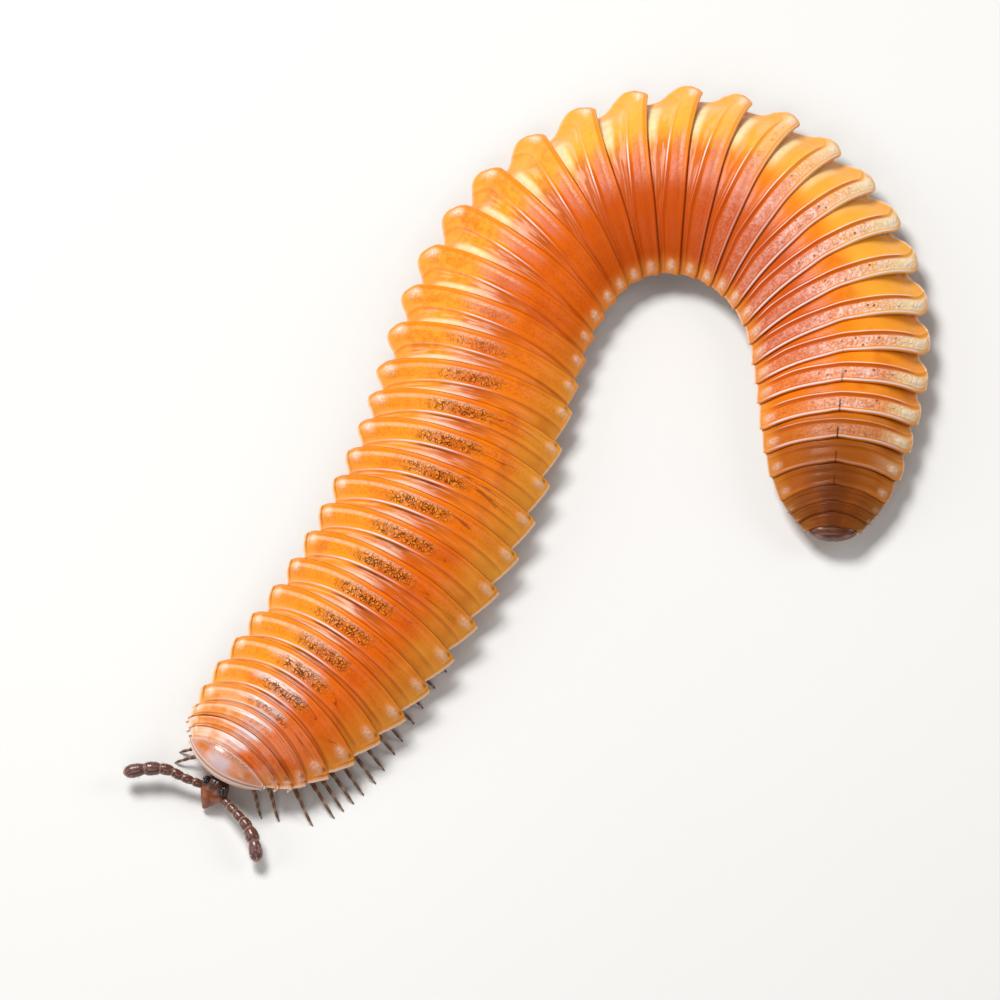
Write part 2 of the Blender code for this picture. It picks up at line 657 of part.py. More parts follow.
clear_scene()
stray = random.Random(STEP_SEED)
parts = bpy.data.collections.new("octoglena_millipede")
cutters = bpy.data.collections.new("cutters")
bpy.context.scene.collection.children.link(parts)
bpy.context.scene.collection.children.link(cutters)
materials = {name: make_material(name) for name in COLOURS}
course = Course()
make_collum(course, materials["collum"])
make_head(course, materials)
for number, (first_ring, last_ring) in enumerate(TRUNK_LENGTHS, start=1):
    make_trunk("trunk_%d" % number, course, first_ring, last_ring, materials["trunk"])
make_telson(course, materials["telson"])
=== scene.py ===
import math
import random
import bpy
import numpy as np
from mathutils import Matrix, Vector


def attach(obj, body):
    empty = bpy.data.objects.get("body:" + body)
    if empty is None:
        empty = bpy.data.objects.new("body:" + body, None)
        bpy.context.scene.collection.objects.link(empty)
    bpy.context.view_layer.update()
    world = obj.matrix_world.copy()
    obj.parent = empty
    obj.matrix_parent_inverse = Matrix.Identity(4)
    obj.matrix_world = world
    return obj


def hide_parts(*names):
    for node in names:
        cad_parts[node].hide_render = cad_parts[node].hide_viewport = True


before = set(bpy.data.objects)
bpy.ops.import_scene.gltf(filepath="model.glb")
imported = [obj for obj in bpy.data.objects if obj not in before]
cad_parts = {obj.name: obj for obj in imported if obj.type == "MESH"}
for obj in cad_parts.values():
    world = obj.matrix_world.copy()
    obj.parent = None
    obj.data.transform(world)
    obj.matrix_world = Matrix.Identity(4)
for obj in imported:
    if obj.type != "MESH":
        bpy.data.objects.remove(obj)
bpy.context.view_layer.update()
print("frame loaded:", len(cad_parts), "nodes")

mm = 0.001  # everything is modelled in millimetres and turned into metres when it is finished
stray = random.Random(11)

# The body's course and widths, as the solids have them. A pair is a ring and its value; a course row is the
# distance from the first rim, the heading of the body and the heading of the ring
body = {
    "courseStart": (-4.031, -4.368),
    "courseStep": 0.02,
    "courseLead": 1,
    "courseRows": (
        (0, 40, 53), (1, 47, 51), (2.6, 56, 54), (4.6, 66, 65), (6.6, 77, 76), (7.8, 70, 66), (9, 52, 47),
        (10.4, 20, 13), (11.8, -22, -16), (13.2, -56, -46), (14.4, -81, -67), (15.6, -95, -86),
        (16.8, -94, -92), (18, -88, -91),
    ),
    "rimPlaces": ((1, 0), (2, 0.1), (3, 0.21), (4, 0.37), (5, 0.66), (6, 1.06), (8, 1.96), (15, 5.57),
                  (20, 8.07), (26, 11.22), (33, 14.63), (36, 15.97), (38, 16.74), (39, 17.08), (40, 17.27),
                  (42, 17.54)),
    "ringWidths": ((1, 1.24), (2, 1.52), (3, 1.77), (4, 1.94), (5, 2.2), (6, 2.4), (8, 2.62), (13, 2.78),
                   (17, 2.73), (19, 2.68), (23, 2.67), (26, 2.86), (28, 2.83), (31, 2.67), (33, 2.55),
                   (35, 2.32), (37, 2), (38, 1.78), (39, 1.46), (40, 1.2), (41, 0.97), (42, 0.74)),
    "cornerTrail": ((1, -0.03), (2, -0.14), (3, -0.19), (4, -0.26), (5, -0.2), (6, -0.16), (7, -0.1),
                    (9, 0), (37, 0), (39, 0.08), (41, 0.06), (42, 0)),
    "cornerRound": ((1, 0), (4, 0.02), (7, 0.05), (27, 0.05), (30, 0.1), (34, 0.1), (36, 0.05), (40, 0.02),
                    (42, 0)),
    # how far the rear corner is cut back, and how far in that reaches, on the bend's outer and inner side
    "outerCut": ((1, 0), (2, 0.06), (4, 0.07), (8, 0.06), (16, 0.06), (20, 0.12), (24, 0.16), (27, 0.12),
                 (33, 0.1), (37, 0.07), (42, 0.01)),
    "outerReach": ((1, 0.06), (2, 0.09), (8, 0.12), (16, 0.12), (22, 0.28), (27, 0.2), (33, 0.18), (37, 0.13),
                   (42, 0.06)),
    "innerCut": ((1, 0), (2, 0.055), (6, 0.05), (10, 0.025), (20, 0.03), (32, 0.05), (39, 0.05), (42, 0.005)),
    "innerReach": ((1, 0.05), (2, 0.08), (8, 0.1), (37, 0.12), (42, 0.05)),
    "cornerHeights": ((1, 0.42), (5, 0.39), (35, 0.38), (42, 0.32)),
    "domeShare": 0.26,
    "domePowers": (2.3, 0.95),
    "lastRing": 42,
    "lengths": ((2, 8), (9, 13), (14, 18), (19, 23), (24, 28), (29, 33), (34, 37), (38, 42)),
}


def readRow(rows, where):
    return np.interp(where, [row[0] for row in rows], [row[1] for row in rows])


def softRead(rows, where, reach):
    return (readRow(rows, where - reach) + readRow(rows, where) + readRow(rows, where + reach)) / 3


def layCourse():
    rows, step = body["courseRows"], body["courseStep"]
    knots = [row[0] for row in rows]
    s = np.arange(-body["courseLead"], knots[-1] + step, step)
    bodyTurn = np.radians(np.where(s < 0, rows[0][2], readRow(rows, s)))
    ringTurn = np.radians(np.interp(s, knots, [row[2] for row in rows]))
    course = []
    for way, start in zip((np.cos(bodyTurn), np.sin(bodyTurn)), body["courseStart"]):
        run = np.r_[0, np.cumsum((way[1:] + way[:-1]) / 2 * step)]
        course.append(run + (start - np.interp(0, s, run)))
    return s, *course, ringTurn


courseS, courseX, courseY, courseTurn = layCourse()


def coursePoint(s, side, z, ahead=0.0):
    turn = np.interp(s, courseS, courseTurn)
    x = np.interp(s, courseS, courseX) - side * np.sin(turn) + ahead * np.cos(turn)
    y = np.interp(s, courseS, courseY) + side * np.cos(turn) + ahead * np.sin(turn)
    return np.stack(np.broadcast_arrays(x, y, z), axis=-1)


def halfWidth(ring):
    return readRow(body["ringWidths"], ring) / 2


def rimPlace(ring, column):
    outer = np.asarray(column) > 0
    cut = np.where(outer, readRow(body["outerCut"], ring), readRow(body["innerCut"], ring))
    reach = np.where(outer, readRow(body["outerReach"], ring), readRow(body["innerReach"], ring))
    inset = (1 - np.abs(column)) * halfWidth(ring)
    corner = cut * (1 - np.clip(1 - inset / reach, 0, 1) ** 2)
    bow = readRow(body["cornerRound"], ring) - cut - readRow(body["cornerTrail"], ring)
    return readRow(body["rimPlaces"], ring) + bow * (1 - column * column) + corner


def domeHeight(column, half, corner):
    inner, outer = body["domePowers"]
    return corner + 2 * half * body["domeShare"] * (1 - np.minimum(np.abs(column), 1) ** inner) ** outer


def bell(distance, middle, width):
    return np.exp(-((distance - middle) / width) ** 2)


# Helpers for mesh pieces

def deselectAll():
    if bpy.context.object and bpy.context.object.mode != "OBJECT":
        bpy.ops.object.mode_set(mode="OBJECT")
    bpy.ops.object.select_all(action="DESELECT")


def makeActive(piece):
    deselectAll()
    piece.select_set(True)
    bpy.context.view_layer.objects.active = piece


def joinPieces(pieces, name):
    makeActive(pieces[0])
    for piece in pieces:
        piece.select_set(True)
    bpy.ops.object.join()
    joined = bpy.context.object
    joined.name = name
    joined.data.name = name
    return joined


def placePoints(piece, points):
    piece.data.vertices.foreach_set("co", np.asarray(points, dtype=np.float32).reshape(-1))
    piece.data.update()


def readPoints(piece):
    points = np.zeros(len(piece.data.vertices) * 3, np.float32)
    piece.data.vertices.foreach_get("co", points)
    return points.reshape(-1, 3).astype(float)


def addAttributes(piece, **layers):
    # one value for each point, or a vector where there are three times as many numbers
    for name, values in layers.items():
        values = np.asarray(values, dtype=np.float32).reshape(-1)
        vector = len(values) == 3 * len(piece.data.vertices)
        layer = piece.data.attributes.new(name, "FLOAT_VECTOR" if vector else "FLOAT", "POINT")
        layer.data.foreach_set("vector" if vector else "value", values)


def addGrid(name, points):
    # a grid whose rows and columns are those of the points
    deselectAll()
    rows, columns = points.shape[:2]
    bpy.ops.mesh.primitive_grid_add(x_subdivisions=columns - 1, y_subdivisions=rows - 1, size=2)
    piece = bpy.context.object
    piece.name = name
    placePoints(piece, points)
    return piece


def addBall(name, faces):
    # a ball of radius 1 with its poles fore and aft
    deselectAll()
    bpy.ops.mesh.primitive_uv_sphere_add(segments=faces[0], ring_count=faces[1], radius=1.0,
                                         rotation=(0, math.pi / 2, 0))
    piece = bpy.context.object
    piece.name = name
    bpy.ops.object.transform_apply(location=True, rotation=True, scale=True)
    return piece


def thicken(piece, thickness):
    # the sheet keeps its upper side and grows downwards
    makeActive(piece)
    faces = piece.data.polygons
    step = piece.modifiers.new("thickness", "SOLIDIFY")
    step.thickness = thickness
    step.offset = -1.0 if faces[len(faces) // 2].normal.z > 0 else 1.0
    bpy.ops.object.modifier_apply(modifier=step.name)


def turnOutwards(piece, close=False, weld=0.0001):
    # closes a tube along its seam and at its ends first, where that is asked for
    makeActive(piece)
    bpy.ops.object.mode_set(mode="EDIT")
    bpy.ops.mesh.select_all(action="SELECT")
    if close:
        bpy.ops.mesh.remove_doubles(threshold=weld)
        bpy.ops.mesh.fill_holes(sides=0)
    bpy.ops.mesh.normals_make_consistent(inside=False)
    bpy.ops.object.mode_set(mode="OBJECT")


def finishPiece(piece, material, nodes=(), sharp=60):
    makeActive(piece)
    piece.scale = (mm, mm, mm)
    bpy.ops.object.transform_apply(location=True, rotation=True, scale=True)
    bpy.ops.object.shade_smooth_by_angle(angle=math.radians(sharp))
    piece.data.materials.clear()
    piece.data.materials.append(material)
    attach(piece, "root")
    if nodes:
        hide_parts(*nodes)
    print(piece.name, "made")


# Helpers for materials. They work on the tree that was started last: a material's or a group's

canvas = {}


def addNode(kind, settings=None, inputs=None):
    tree = canvas["tree"]
    item = tree.nodes.new(kind)
    for name, value in (settings or {}).items():
        setattr(item, name, value)
    for socket, value in (inputs or {}).items():
        if isinstance(value, bpy.types.NodeSocket):
            tree.links.new(value, item.inputs[socket])
        else:
            item.inputs[socket].default_value = value
    return item


def calc(operation, *values):
    return addNode("ShaderNodeMath", {"operation": operation}, dict(enumerate(values))).outputs[0]


def times(product, *factors):
    for factor in factors:
        product = calc("MULTIPLY", product, factor)
    return product


def ramp(value, low, high, ends=(0.0, 1.0)):
    return addNode("ShaderNodeMapRange", {"interpolation_type": "SMOOTHSTEP"}, {
        "Value": value, "From Min": low, "From Max": high, "To Min": ends[0], "To Max": ends[1]}).outputs[0]


def mixValues(factor, a, b):
    return addNode("ShaderNodeMix", {"data_type": "FLOAT"}, {0: factor, 2: a, 3: b}).outputs[0]


def mixColours(factor, a, b):
    return addNode("ShaderNodeMix", {"data_type": "RGBA"}, {0: factor, 6: a, 7: b}).outputs[2]


def addNoise(place, scale, detail, **inputs):
    return addNode("ShaderNodeTexNoise", {"noise_dimensions": "2D"},
                   {"Vector": place, "Scale": scale, "Detail": detail, **inputs})


def field(name, output="Fac"):
    # a value that was made before under this name, or else the attribute of the mesh
    fields = canvas["fields"]
    if name not in fields:
        fields[name] = addNode("ShaderNodeAttribute", {"attribute_name": name}).outputs[output]
    return fields[name]


def limit(*rules):
    # The product of rules. Each is a field's name, alone or with two places between which the field's share
    # rises from 0 to 1 or as the ends after them say, or with the four places of a band
    factors = []
    for rule in rules:
        if isinstance(rule, str):
            factors.append(field(rule))
        elif len(rule) == 5:
            value, start, full, fade, end = rule
            factors.append(times(ramp(field(value), start, full), ramp(field(value), fade, end, (1.0, 0.0))))
        else:
            factors.append(ramp(field(rule[0]), *rule[1:]))
    return times(*factors)


def horn(roughness, coat, coatRoughness, scatter=0.0, radius=(1.0, 1.0, 1.0), depth=0.0, index=1.5):
    # shader settings of a glossy skin that lets some light in, down to a depth in millimetres
    return {"Roughness": roughness, "Coat Weight": coat, "Coat Roughness": coatRoughness, "IOR": index,
            "Subsurface Weight": scatter, "Subsurface Radius": radius, "Subsurface Scale": depth * mm}


def startMaterial(name, look):
    material = bpy.data.materials.new(name)
    material.use_nodes = True
    shader = material.node_tree.nodes["Principled BSDF"]
    for socket, value in look["shader"].items():
        shader.inputs[socket].default_value = value
    canvas.update(tree=material.node_tree, shader=shader, fields={})
    if "cuticle" in look:
        grain, blotch = look["cuticle"]
        cuticle = addNode("ShaderNodeGroup", {"node_tree": cuticleGroup}, {"Grain": grain, "Blotch": blotch})
        canvas["fields"] = {"grain": cuticle.outputs["Height"], "patches": cuticle.outputs["Patches"]}
    return material


def linkShader(socket, value):
    canvas["tree"].links.new(value, canvas["shader"].inputs[socket])


def paintLayers(look):
    # each layer is a tone, its share, and the rules that limit it
    base = (*look[look["ground"]], 1.0)
    for tone, share, *rules in look["layers"]:
        factor = limit(*rules)
        if share != 1:
            factor = times(factor, share)
        base = mixColours(factor, base, (*look[tone], 1.0))
    linkShader("Base Color", base)


def addBump(height, strength, depth):
    bump = addNode("ShaderNodeBump", None, {"Height": height, "Strength": strength, "Distance": depth * mm})
    linkShader("Normal", bump.outputs[0])


def makeSurface(name, look):
    material = startMaterial(name, look)
    paintLayers(look)
    if "bump" in look:
        addBump(field("grain"), *look["bump"])
    return material


def startGroup(name, inputs, outputs):
    # an input without a value is a vector
    group = bpy.data.node_groups.new(name, "ShaderNodeTree")
    for label, value in inputs.items():
        kind = "NodeSocketVector" if value is None else "NodeSocketFloat"
        socket = group.interface.new_socket(label, in_out="INPUT", socket_type=kind)
        if value is not None:
            socket.default_value = value
    for label in outputs:
        group.interface.new_socket(label, in_out="OUTPUT", socket_type="NodeSocketFloat")
    canvas["tree"] = group
    return group, addNode("NodeGroupInput").outputs


def makeCuticleGroup():
    # fine pits and soft blotches that every hard skin of the animal shares, sized in millimetres
    group, entry = startGroup("cuticle", {"Grain": 40.0, "Blotch": 3.0}, ("Height", "Patches"))
    place = addNode("ShaderNodeTexCoord").outputs["Object"]
    place = addNode("ShaderNodeVectorMath", {"operation": "SCALE"}, {0: place, "Scale": 1 / mm}).outputs[0]
    grain, blotch = (addNode("ShaderNodeTexNoise", None, {
        "Vector": place, "Scale": entry[label], "Detail": detail, "Roughness": rough}).outputs[0]
        for label, detail, rough in (("Grain", 2.0, 0.6), ("Blotch", 3.0, 0.55)))
    addNode("NodeGroupOutput", None, {"Height": grain, "Patches": blotch})
    return group


def makeWormGroup():
    # raised grains with dark worm-like gaps between them, broken up by a second noise
    group, entry = startGroup("worms", {"Vector": None, "Fineness": 14.0, "Width": 0.1}, ("Lines", "Grains"))
    noise = addNoise(entry["Vector"], times(entry["Fineness"], 0.55), 1.0)
    bent = addNode("ShaderNodeVectorMath", {"operation": "MULTIPLY_ADD"},
                   {0: noise.outputs[1], 1: (0.11, 0.11, 0.11), 2: entry["Vector"]}).outputs[0]
    cells = addNode("ShaderNodeTexVoronoi", {"feature": "DISTANCE_TO_EDGE", "voronoi_dimensions": "2D"},
                    {"Vector": bent, "Scale": entry["Fineness"]}).outputs["Distance"]
    gaps = calc("SUBTRACT", 1.0, ramp(calc("DIVIDE", cells, entry["Width"]), 0.4, 1.0))
    addNode("NodeGroupOutput", None, {"Lines": times(gaps, ramp(noise.outputs[0], 0.4, 0.5)),
                                      "Grains": ramp(cells, 0.0, 0.3)})
    return group


cuticleGroup = makeCuticleGroup()
wormGroup = makeWormGroup()

# Skin of the ring plates. The zones come first, then what is mixed from them, then the layers of colour.
# Stations along a ring: 0 rim of the ring ahead, 1 end of the smooth band, 2 behind the ridge, 3 start of
# the rim, 4 edge. The column runs from -1 to 1 across, the bend's outer side above 0
plateFinish = {
    "shader": {"Coat Roughness": 0.12, "IOR": 1.4, "Specular IOR Level": 0.18},
    "cuticle": (30, 2.2),
    # noises: stretch across and along, scale and detail; groups of worms; dots; hair lines
    "streakStretch": (0.1, 0.22),
    "streaks": (20, 2),
    "mottle": (8, 1),
    "scriptStretch": (1.25, 1, 1),
    "script": {"Fineness": 19, "Width": 0.24},
    "freckles": {"Fineness": 13, "Width": 0.1},
    "speckScale": 4.5,
    "hairs": (7, 1, 0.5, 0.6),
    "hairWidth": 0.016,
    "ground": "right",
    "right": (0.8, 0.135, 0.002),
    "left": (0.97, 0.3, 0.016),
    "tailGround": (0.86, 0.215, 0.004),
    "flame": (0.93, 0.215, 0.004),
    "deep": (0.54, 0.068, 0.001),
    "amber": (0.9, 0.38, 0.06),
    "gold": (1, 0.5, 0.06),
    "butter": (1, 0.82, 0.48),
    "gut": (0.46, 0.09, 0.01),
    "wedge": (0.9, 0.6, 0.44),
    "cream": (1, 0.82, 0.68),
    "white": (1, 0.9, 0.88),
    "frost": (0.86, 0.84, 0.92),
    "ash": (0.72, 0.46, 0.41),
    "pink": (0.97, 0.67, 0.58),
    "mauve": (0.62, 0.2, 0.13),
    "rim": (1, 0.6, 0.4),
    "lilac": (0.97, 0.82, 0.82),
    "palePink": (0.9, 0.58, 0.44),
    "ink": (0.018, 0.004, 0.001),
    "edge": (0.15, 0.018, 0.003),
    "tail": (0.42, 0.1, 0.005),
    "stain": (0.09, 0.016, 0.002),
    "zones": {
        "onBand": (("station", 0.95, 1.15, (1, 0)),),
        "onRidge": (("station", 1.18, 1.26, 1.36, 1.46),),
        "onGroove": (("station", 1.45, 1.6, 1.95, 2.15),),
        "onPlate": (("station", 1.95, 2.15, 3.3, 3.45),),
        "tailArm": (("ring", 26, 31),),
        "leftArm": (("ring", 26, 31, (1, 0)),),
        "onBend": (("ring", 15, 20, 28, 33),),
        "innerBend": ("onBend", ("column", -0.6, 0.1, (1, 0))),
        "outerBend": (("ring", 14, 20, 28, 32), ("column", 0.15, 0.45)),
        "inland": (("margin", 0.1, 0.32),),
        "lateRings": (("ring", 37.2, 38.6, (1, 0.06)),),
        "leftward": (("column", -0.35, 0.1, (0.08, 1)),),
        "grainy": ("onPlate", "tailArm", ("ring", 36.6, 38.2, (1, 0)), ("column", -0.7, 0.2, (0.35, 1))),
        # gloss: where painted highlight streaks lie on the front rings, and where the coat is raised as well
        "gloss": (("station", 2.3, 2.7, 3.15, 3.4), ("column", -0.3, -0.05, 0.3, 0.6),
                  ("ring", 5, 9, (1, 0)), ("streaks", 0.4, 0.5)),
        "scriptArea": (("station", 1.65, 2, 2.85, 3.1), ("column", -0.42, -0.18, 0.22, 0.5),
                       ("ring", 3, 6, 15, 21)),
        "worms": ("scriptLines", "scriptArea", ("mottle", 0.34, 0.5, (0.3, 1))),
        "grains": ("scriptGrains", "scriptArea"),
        "ridgeOnLeft": ("leftward", ("across", 0.4, 0.75, (1, 0.35)), ("ring", 3.5, 5.5)),
        "midlineOnly": (("across", 0.25, 0.6, (1, 0.25)),),
        "lateTail": (("ring", 33, 36),),
        "bossSide": (("column", -0.3, 0.3),),
        "tailStain": (("across", 0.1, 0.75, (1, 0.3)), ("ring", 36, 40)),
        "endStainAndShade": (("ring", 38, 40.5, (0, 0.8)),),
        "dim": (("ring", 36, 41, (1, 0.25)),),
    },
    # fields mixed from others: factor, value where it is 0, value where it is 1
    "mixed": {
        "crisp": ("innerBend", 1, 0.1),
        "pinkSpread": ("lateTail", 1, "midlineOnly"),
        "ridgeSpread": ("tailArm", "ridgeOnLeft", 1),
        "tailInland": ("tailArm", 1, "inland"),
        "innerBoss": ("onBend", 0.62, 0.8),
        "bossSpread": ("bossSide", "innerBoss", 1),
    },
    "layers": (
        # ground colour, from the midline out to the margins, brighter and darker in turn along the body; the
        # bend's outer side is lighter and yellower than its inner side, partly its own tone and partly
        # painted light
        ("tailGround", 1, "tailArm"),
        ("left", 1, ("column", -0.08, 0.34)),
        ("flame", 0.9, ("ring", 11, 14.5, 17.5, 20), ("column", 0, -0.3)),
        ("deep", 0.4, ("patches", 0.46, 0.72)),
        ("deep", 0.35, "onPlate", ("grain", 0.46, 0.62)),
        # darker inner side and golden outer side from the bend to the tail arm: painted shade and painted
        # light
        ("deep", 0.85, ("ring", 21, 25, 32, 37), ("column", 0.05, -0.35)),
        ("gold", 0.7, ("ring", 21, 25, 32, 35), ("column", 0.05, 0.45)),
        # smooth front band: the gut's shadow along the midline, pale streaks that are painted sheen, a pale
        # wedge behind the rim ahead
        ("gut", 1, ("across", 0.16, 0.55, (1, 0)), ("ring", 4, 8, 24, 30),
         ("station", 0.2, 0.5, 1, 1.15), ("patches", 0.3, 0.6, (0.9, 0.55))),
        ("rim", 0.4, "onBand", ("streaks", 0.5, 0.62), "leftArm", ("column", -0.5, 0.2, (0.2, 1)), "inland"),
        ("wedge", 0.8, ("station", -0.4, -0.1, 0.22, 0.5), ("column", -0.16, 0.05, 0.4, 0.8),
         ("ring", 3, 6, 18, 24), ("streaks", 0.35, 0.55, (0.6, 1))),
        ("butter", 0.9, "outerBend", ("station", -0.4, -0.1, 0.26, 0.55), "inland"),
        ("gold", 0.28, "outerBend", ("mottle", 0.42, 0.62)),
        # mauve sheen along the crest of the bend
        ("mauve", 0.65, "onBend", ("column", -0.35, -0.1, 0.15, 0.4), "onPlate", ("grain", 0.35, 0.6)),
        # pink granular plates of the tail arm, their own pale cuticle with a painted sheen in it, and the
        # pale front rings
        ("pink", 1, "grainy", ("mottle", 0.38, 0.6, (1, 0.55)), ("grain", 0.42, 0.58, (1, 0.4)),
         "pinkSpread"),
        ("palePink", 1, ("ring", 2, 6.5, (1, 0)), ("patches", 0.46, 0.62, (1, 0.15)),
         ("column", -0.3, 0.2, (0.25, 1))),
        # painted highlight: grey-lilac blotches along the midline of the front rings
        ("ash", 0.75, ("column", -0.28, -0.05, 0.12, 0.32), ("ring", 4, 9, (1, 0)),
         ("mottle", 0.38, 0.55, (1, 0.5))),
        # painted highlight: pale streaks ahead of the rear edge on the front rings
        ("frost", 0.9, "gloss"),
        # dark worm-like script in the middle third, between raised orange grains
        ("deep", 0.3, "scriptArea"),
        ("gold", 0.28, "grains"),
        ("ink", 0.74, "worms"),
        # hair lines across the flanks, freckles and dots on the tail arm
        ("edge", 0.6, "hairLines", "onPlate", ("column", -0.3, -0.05, (1, 0.1)), "leftArm", "inland",
         "crisp"),
        ("deep", 0.4, "freckleLines", "grainy"),
        ("ink", 0.7, ("specks", 0.06, 0.11, (1, 0)), "grainy"),
        # pale pebbled crest ahead of the rear edge with painted highlights on its grains, the ridge line as a
        # painted highlight, and the ridge's painted shadow
        ("rim", 0.62, ("station", 2.65, 2.85, 3.05, 3.2), "leftward", "leftArm", "crisp",
         ("grain", 0.38, 0.58, (0.35, 1)), ("outerBend", 0, 1, (1, 0.1))),
        ("lilac", 0.95, "onRidge", "crisp", "ridgeSpread", ("outerBend", 0, 1, (1, 0.15)), "lateRings",
         "tailInland", ("streaks", 0.35, 0.5, (0.5, 1))),
        ("stain", 0.75, ("station", 0.86, 0.98, 1.08, 1.18), ("column", -0.2, 0, 0.25, 0.45),
         ("ring", 4, 6, 14, 19)),
        ("deep", 0.8, "onGroove", "tailArm", "lateRings", "inland"),
        # rear rim: a red line ahead of the edge on the front half, a white one at the edge on the tail arm,
        # its pale rim with a painted highlight along it
        ("flame", 0.7, ("station", 3.2, 3.35, 3.7, 3.85), "leftArm", "leftward", "crisp"),
        ("white", 0.85, ("station", 3.56, 3.68, 3.82, 3.92), "tailArm", "lateRings",
         ("margin", 0.04, 0.26, (0.25, 1))),
        # tail end: dark amber, with a darker stained midline, a fine dark line along the midline and a
        # darkening towards the very end; the amber and that darkening are partly the tail's own colour and
        # partly painted shade
        ("tail", 0.9, ("ring", 35, 38.5), ("station", 3.4, 3.7, (1, 0.5))),
        ("stain", 0.85, "darkest"),
        ("ink", 0.9, ("across", 0.003, 0.02, (1, 0)), ("ring", 33, 36, 38.5, 40.5), ("station", 2.1, 2.8),
         ("patches", 0.3, 0.6, (1, 0.6))),
        # lobes: amber, a cream boss, a pit and a pale edge with a fine dark line inside it
        ("amber", 0.5, ("margin", 0.03, 0.24, (1, 0)), "dim"),
        # painted glow: pale yellow light shining through the outer lobes of the tail arm
        ("butter", 0.72, "tailArm", ("column", 0.45, 0.82), ("station", 1.7, 2.3, 3.2, 3.7),
         ("ring", 36, 39, (1, 0)), ("margin", 0.02, 0.1, (0.35, 1))),
        ("stain", 0.55, ("margin", 0.024, 0.032, 0.038, 0.05), ("station", 1.5, 3, (0.2, 1)),
         ("ring", 12, 17, (1, 0))),
        # gold near the inner flank's margin: partly its own golden tone, partly painted light on the slope
        # turned from the lamps
        ("gold", 0.48, "leftArm", ("column", -0.45, -0.85), ("patches", 0.3, 0.6, (1, 0.6)),
         ("ring", 4, 9, 16, 21)),
        ("cream", 0.95, "boss", "dim", ("grain", 0.35, 0.58, (1, 0.45)), "bossSpread"),
        ("edge", 0.7, "pit", "leftArm", "crisp"),
        ("cream", 0.6, ("margin", 0.008, 0.024, (1, 0)), "dim", "crisp", ("outerBend", 0, 1, (1, 0.4))),
        # painted shadow: a dark line along the rear edge, where it overlaps the ring behind
        ("edge", 0.9, ("station", 3.8, 3.92), "leftArm", ("margin", 0.04, 0.2, (0.2, 1)),
         ("outerBend", 0, 1, (1, 0.4)), ("innerBend", 0, 1, (1, 0.35))),
    ),
    # roughness of the plate, of the patches, and what the worms add; coat without and with a boss or gloss
    "roughness": (("onPlate", 0, 1, (0, 0.1)), ("patches", 0.3, 0.7, (0.28, 0.4)), 0.4),
    "coat": (0.06, 0.35),
    # height of the marks: grain on and off the band, streaks, freckles, then the bump's strength and depth
    "bandGrain": ("onBand", 0, 1, (1, 0.25)),
    "heightShares": (0.36, 0.28, 0.5),
    "bump": (0.85, 0.014),
}


def makePlateMaterial():
    look = plateFinish
    material = startMaterial("orangePlate", look)
    fields = canvas["fields"]
    fields["across"] = calc("ABSOLUTE", field("column"))
    place = field("placeOnRing", "Vector")
    axes = addNode("ShaderNodeSeparateXYZ", None, {0: place})
    sideways, lengthways = look["streakStretch"]
    streakPlace = addNode("ShaderNodeCombineXYZ", None, {
        0: times(axes.outputs[0], sideways), 1: times(field("station"), lengthways)}).outputs[0]
    fields["streaks"] = addNoise(streakPlace, *look["streaks"]).outputs[0]
    fields["mottle"] = addNoise(place, *look["mottle"]).outputs[0]
    stretch = {0: place, 1: look["scriptStretch"]}
    scriptPlace = addNode("ShaderNodeVectorMath", {"operation": "MULTIPLY"}, stretch).outputs[0]
    script, freckles = (
        addNode("ShaderNodeGroup", {"node_tree": wormGroup}, {"Vector": where, **look[name]}).outputs
        for where, name in ((scriptPlace, "script"), (place, "freckles")))
    fields.update(scriptLines=script["Lines"], scriptGrains=script["Grains"], freckleLines=freckles["Lines"])
    fields["specks"] = addNode("ShaderNodeTexVoronoi", {"feature": "F1", "voronoi_dimensions": "2D"},
                               {"Vector": place, "Scale": look["speckScale"]}).outputs["Distance"]
    # hair lines lie where a stretched noise is close to its middle value
    scale, detail, rough, distortion = look["hairs"]
    hairs = addNoise(streakPlace, scale, detail, Roughness=rough, Distortion=distortion).outputs[0]
    away = calc("DIVIDE", calc("ABSOLUTE", calc("SUBTRACT", hairs, 0.5)), look["hairWidth"])
    fields["hairLines"] = ramp(away, 0.35, 1.0, (1.0, 0.0))
    for name, rules in look["zones"].items():
        fields[name] = limit(*rules)
    for name, (factor, *ends) in look["mixed"].items():
        fields[name] = mixValues(fields[factor], *(fields.get(end, end) for end in ends))
    fields["darkest"] = calc("MAXIMUM", fields["tailStain"], fields["endStainAndShade"])
    paintLayers(look)

    onPlate, onPatches, onWorms = look["roughness"]
    rough = calc("ADD", limit(onPlate), limit(onPatches))
    linkShader("Roughness", calc("ADD", rough, times(field("worms"), onWorms)))
    least, most = look["coat"]
    shiny = calc("MAXIMUM", limit("boss", "dim"), field("gloss"))
    coat = calc("ADD", least, times(shiny, most))
    linkShader("Coat Weight", times(coat, calc("SUBTRACT", 1.0, field("worms"))))
    grainShare, streakShare, freckleShare = look["heightShares"]
    height = calc("MULTIPLY_ADD", limit("grain", look["bandGrain"]), grainShare, field("grains"))
    height = calc("MULTIPLY_ADD", field("streaks"), streakShare, height)
    height = calc("MULTIPLY_ADD", times(freckles["Grains"], field("grainy")), freckleShare, height)
    addBump(height, *look["bump"])
    return material


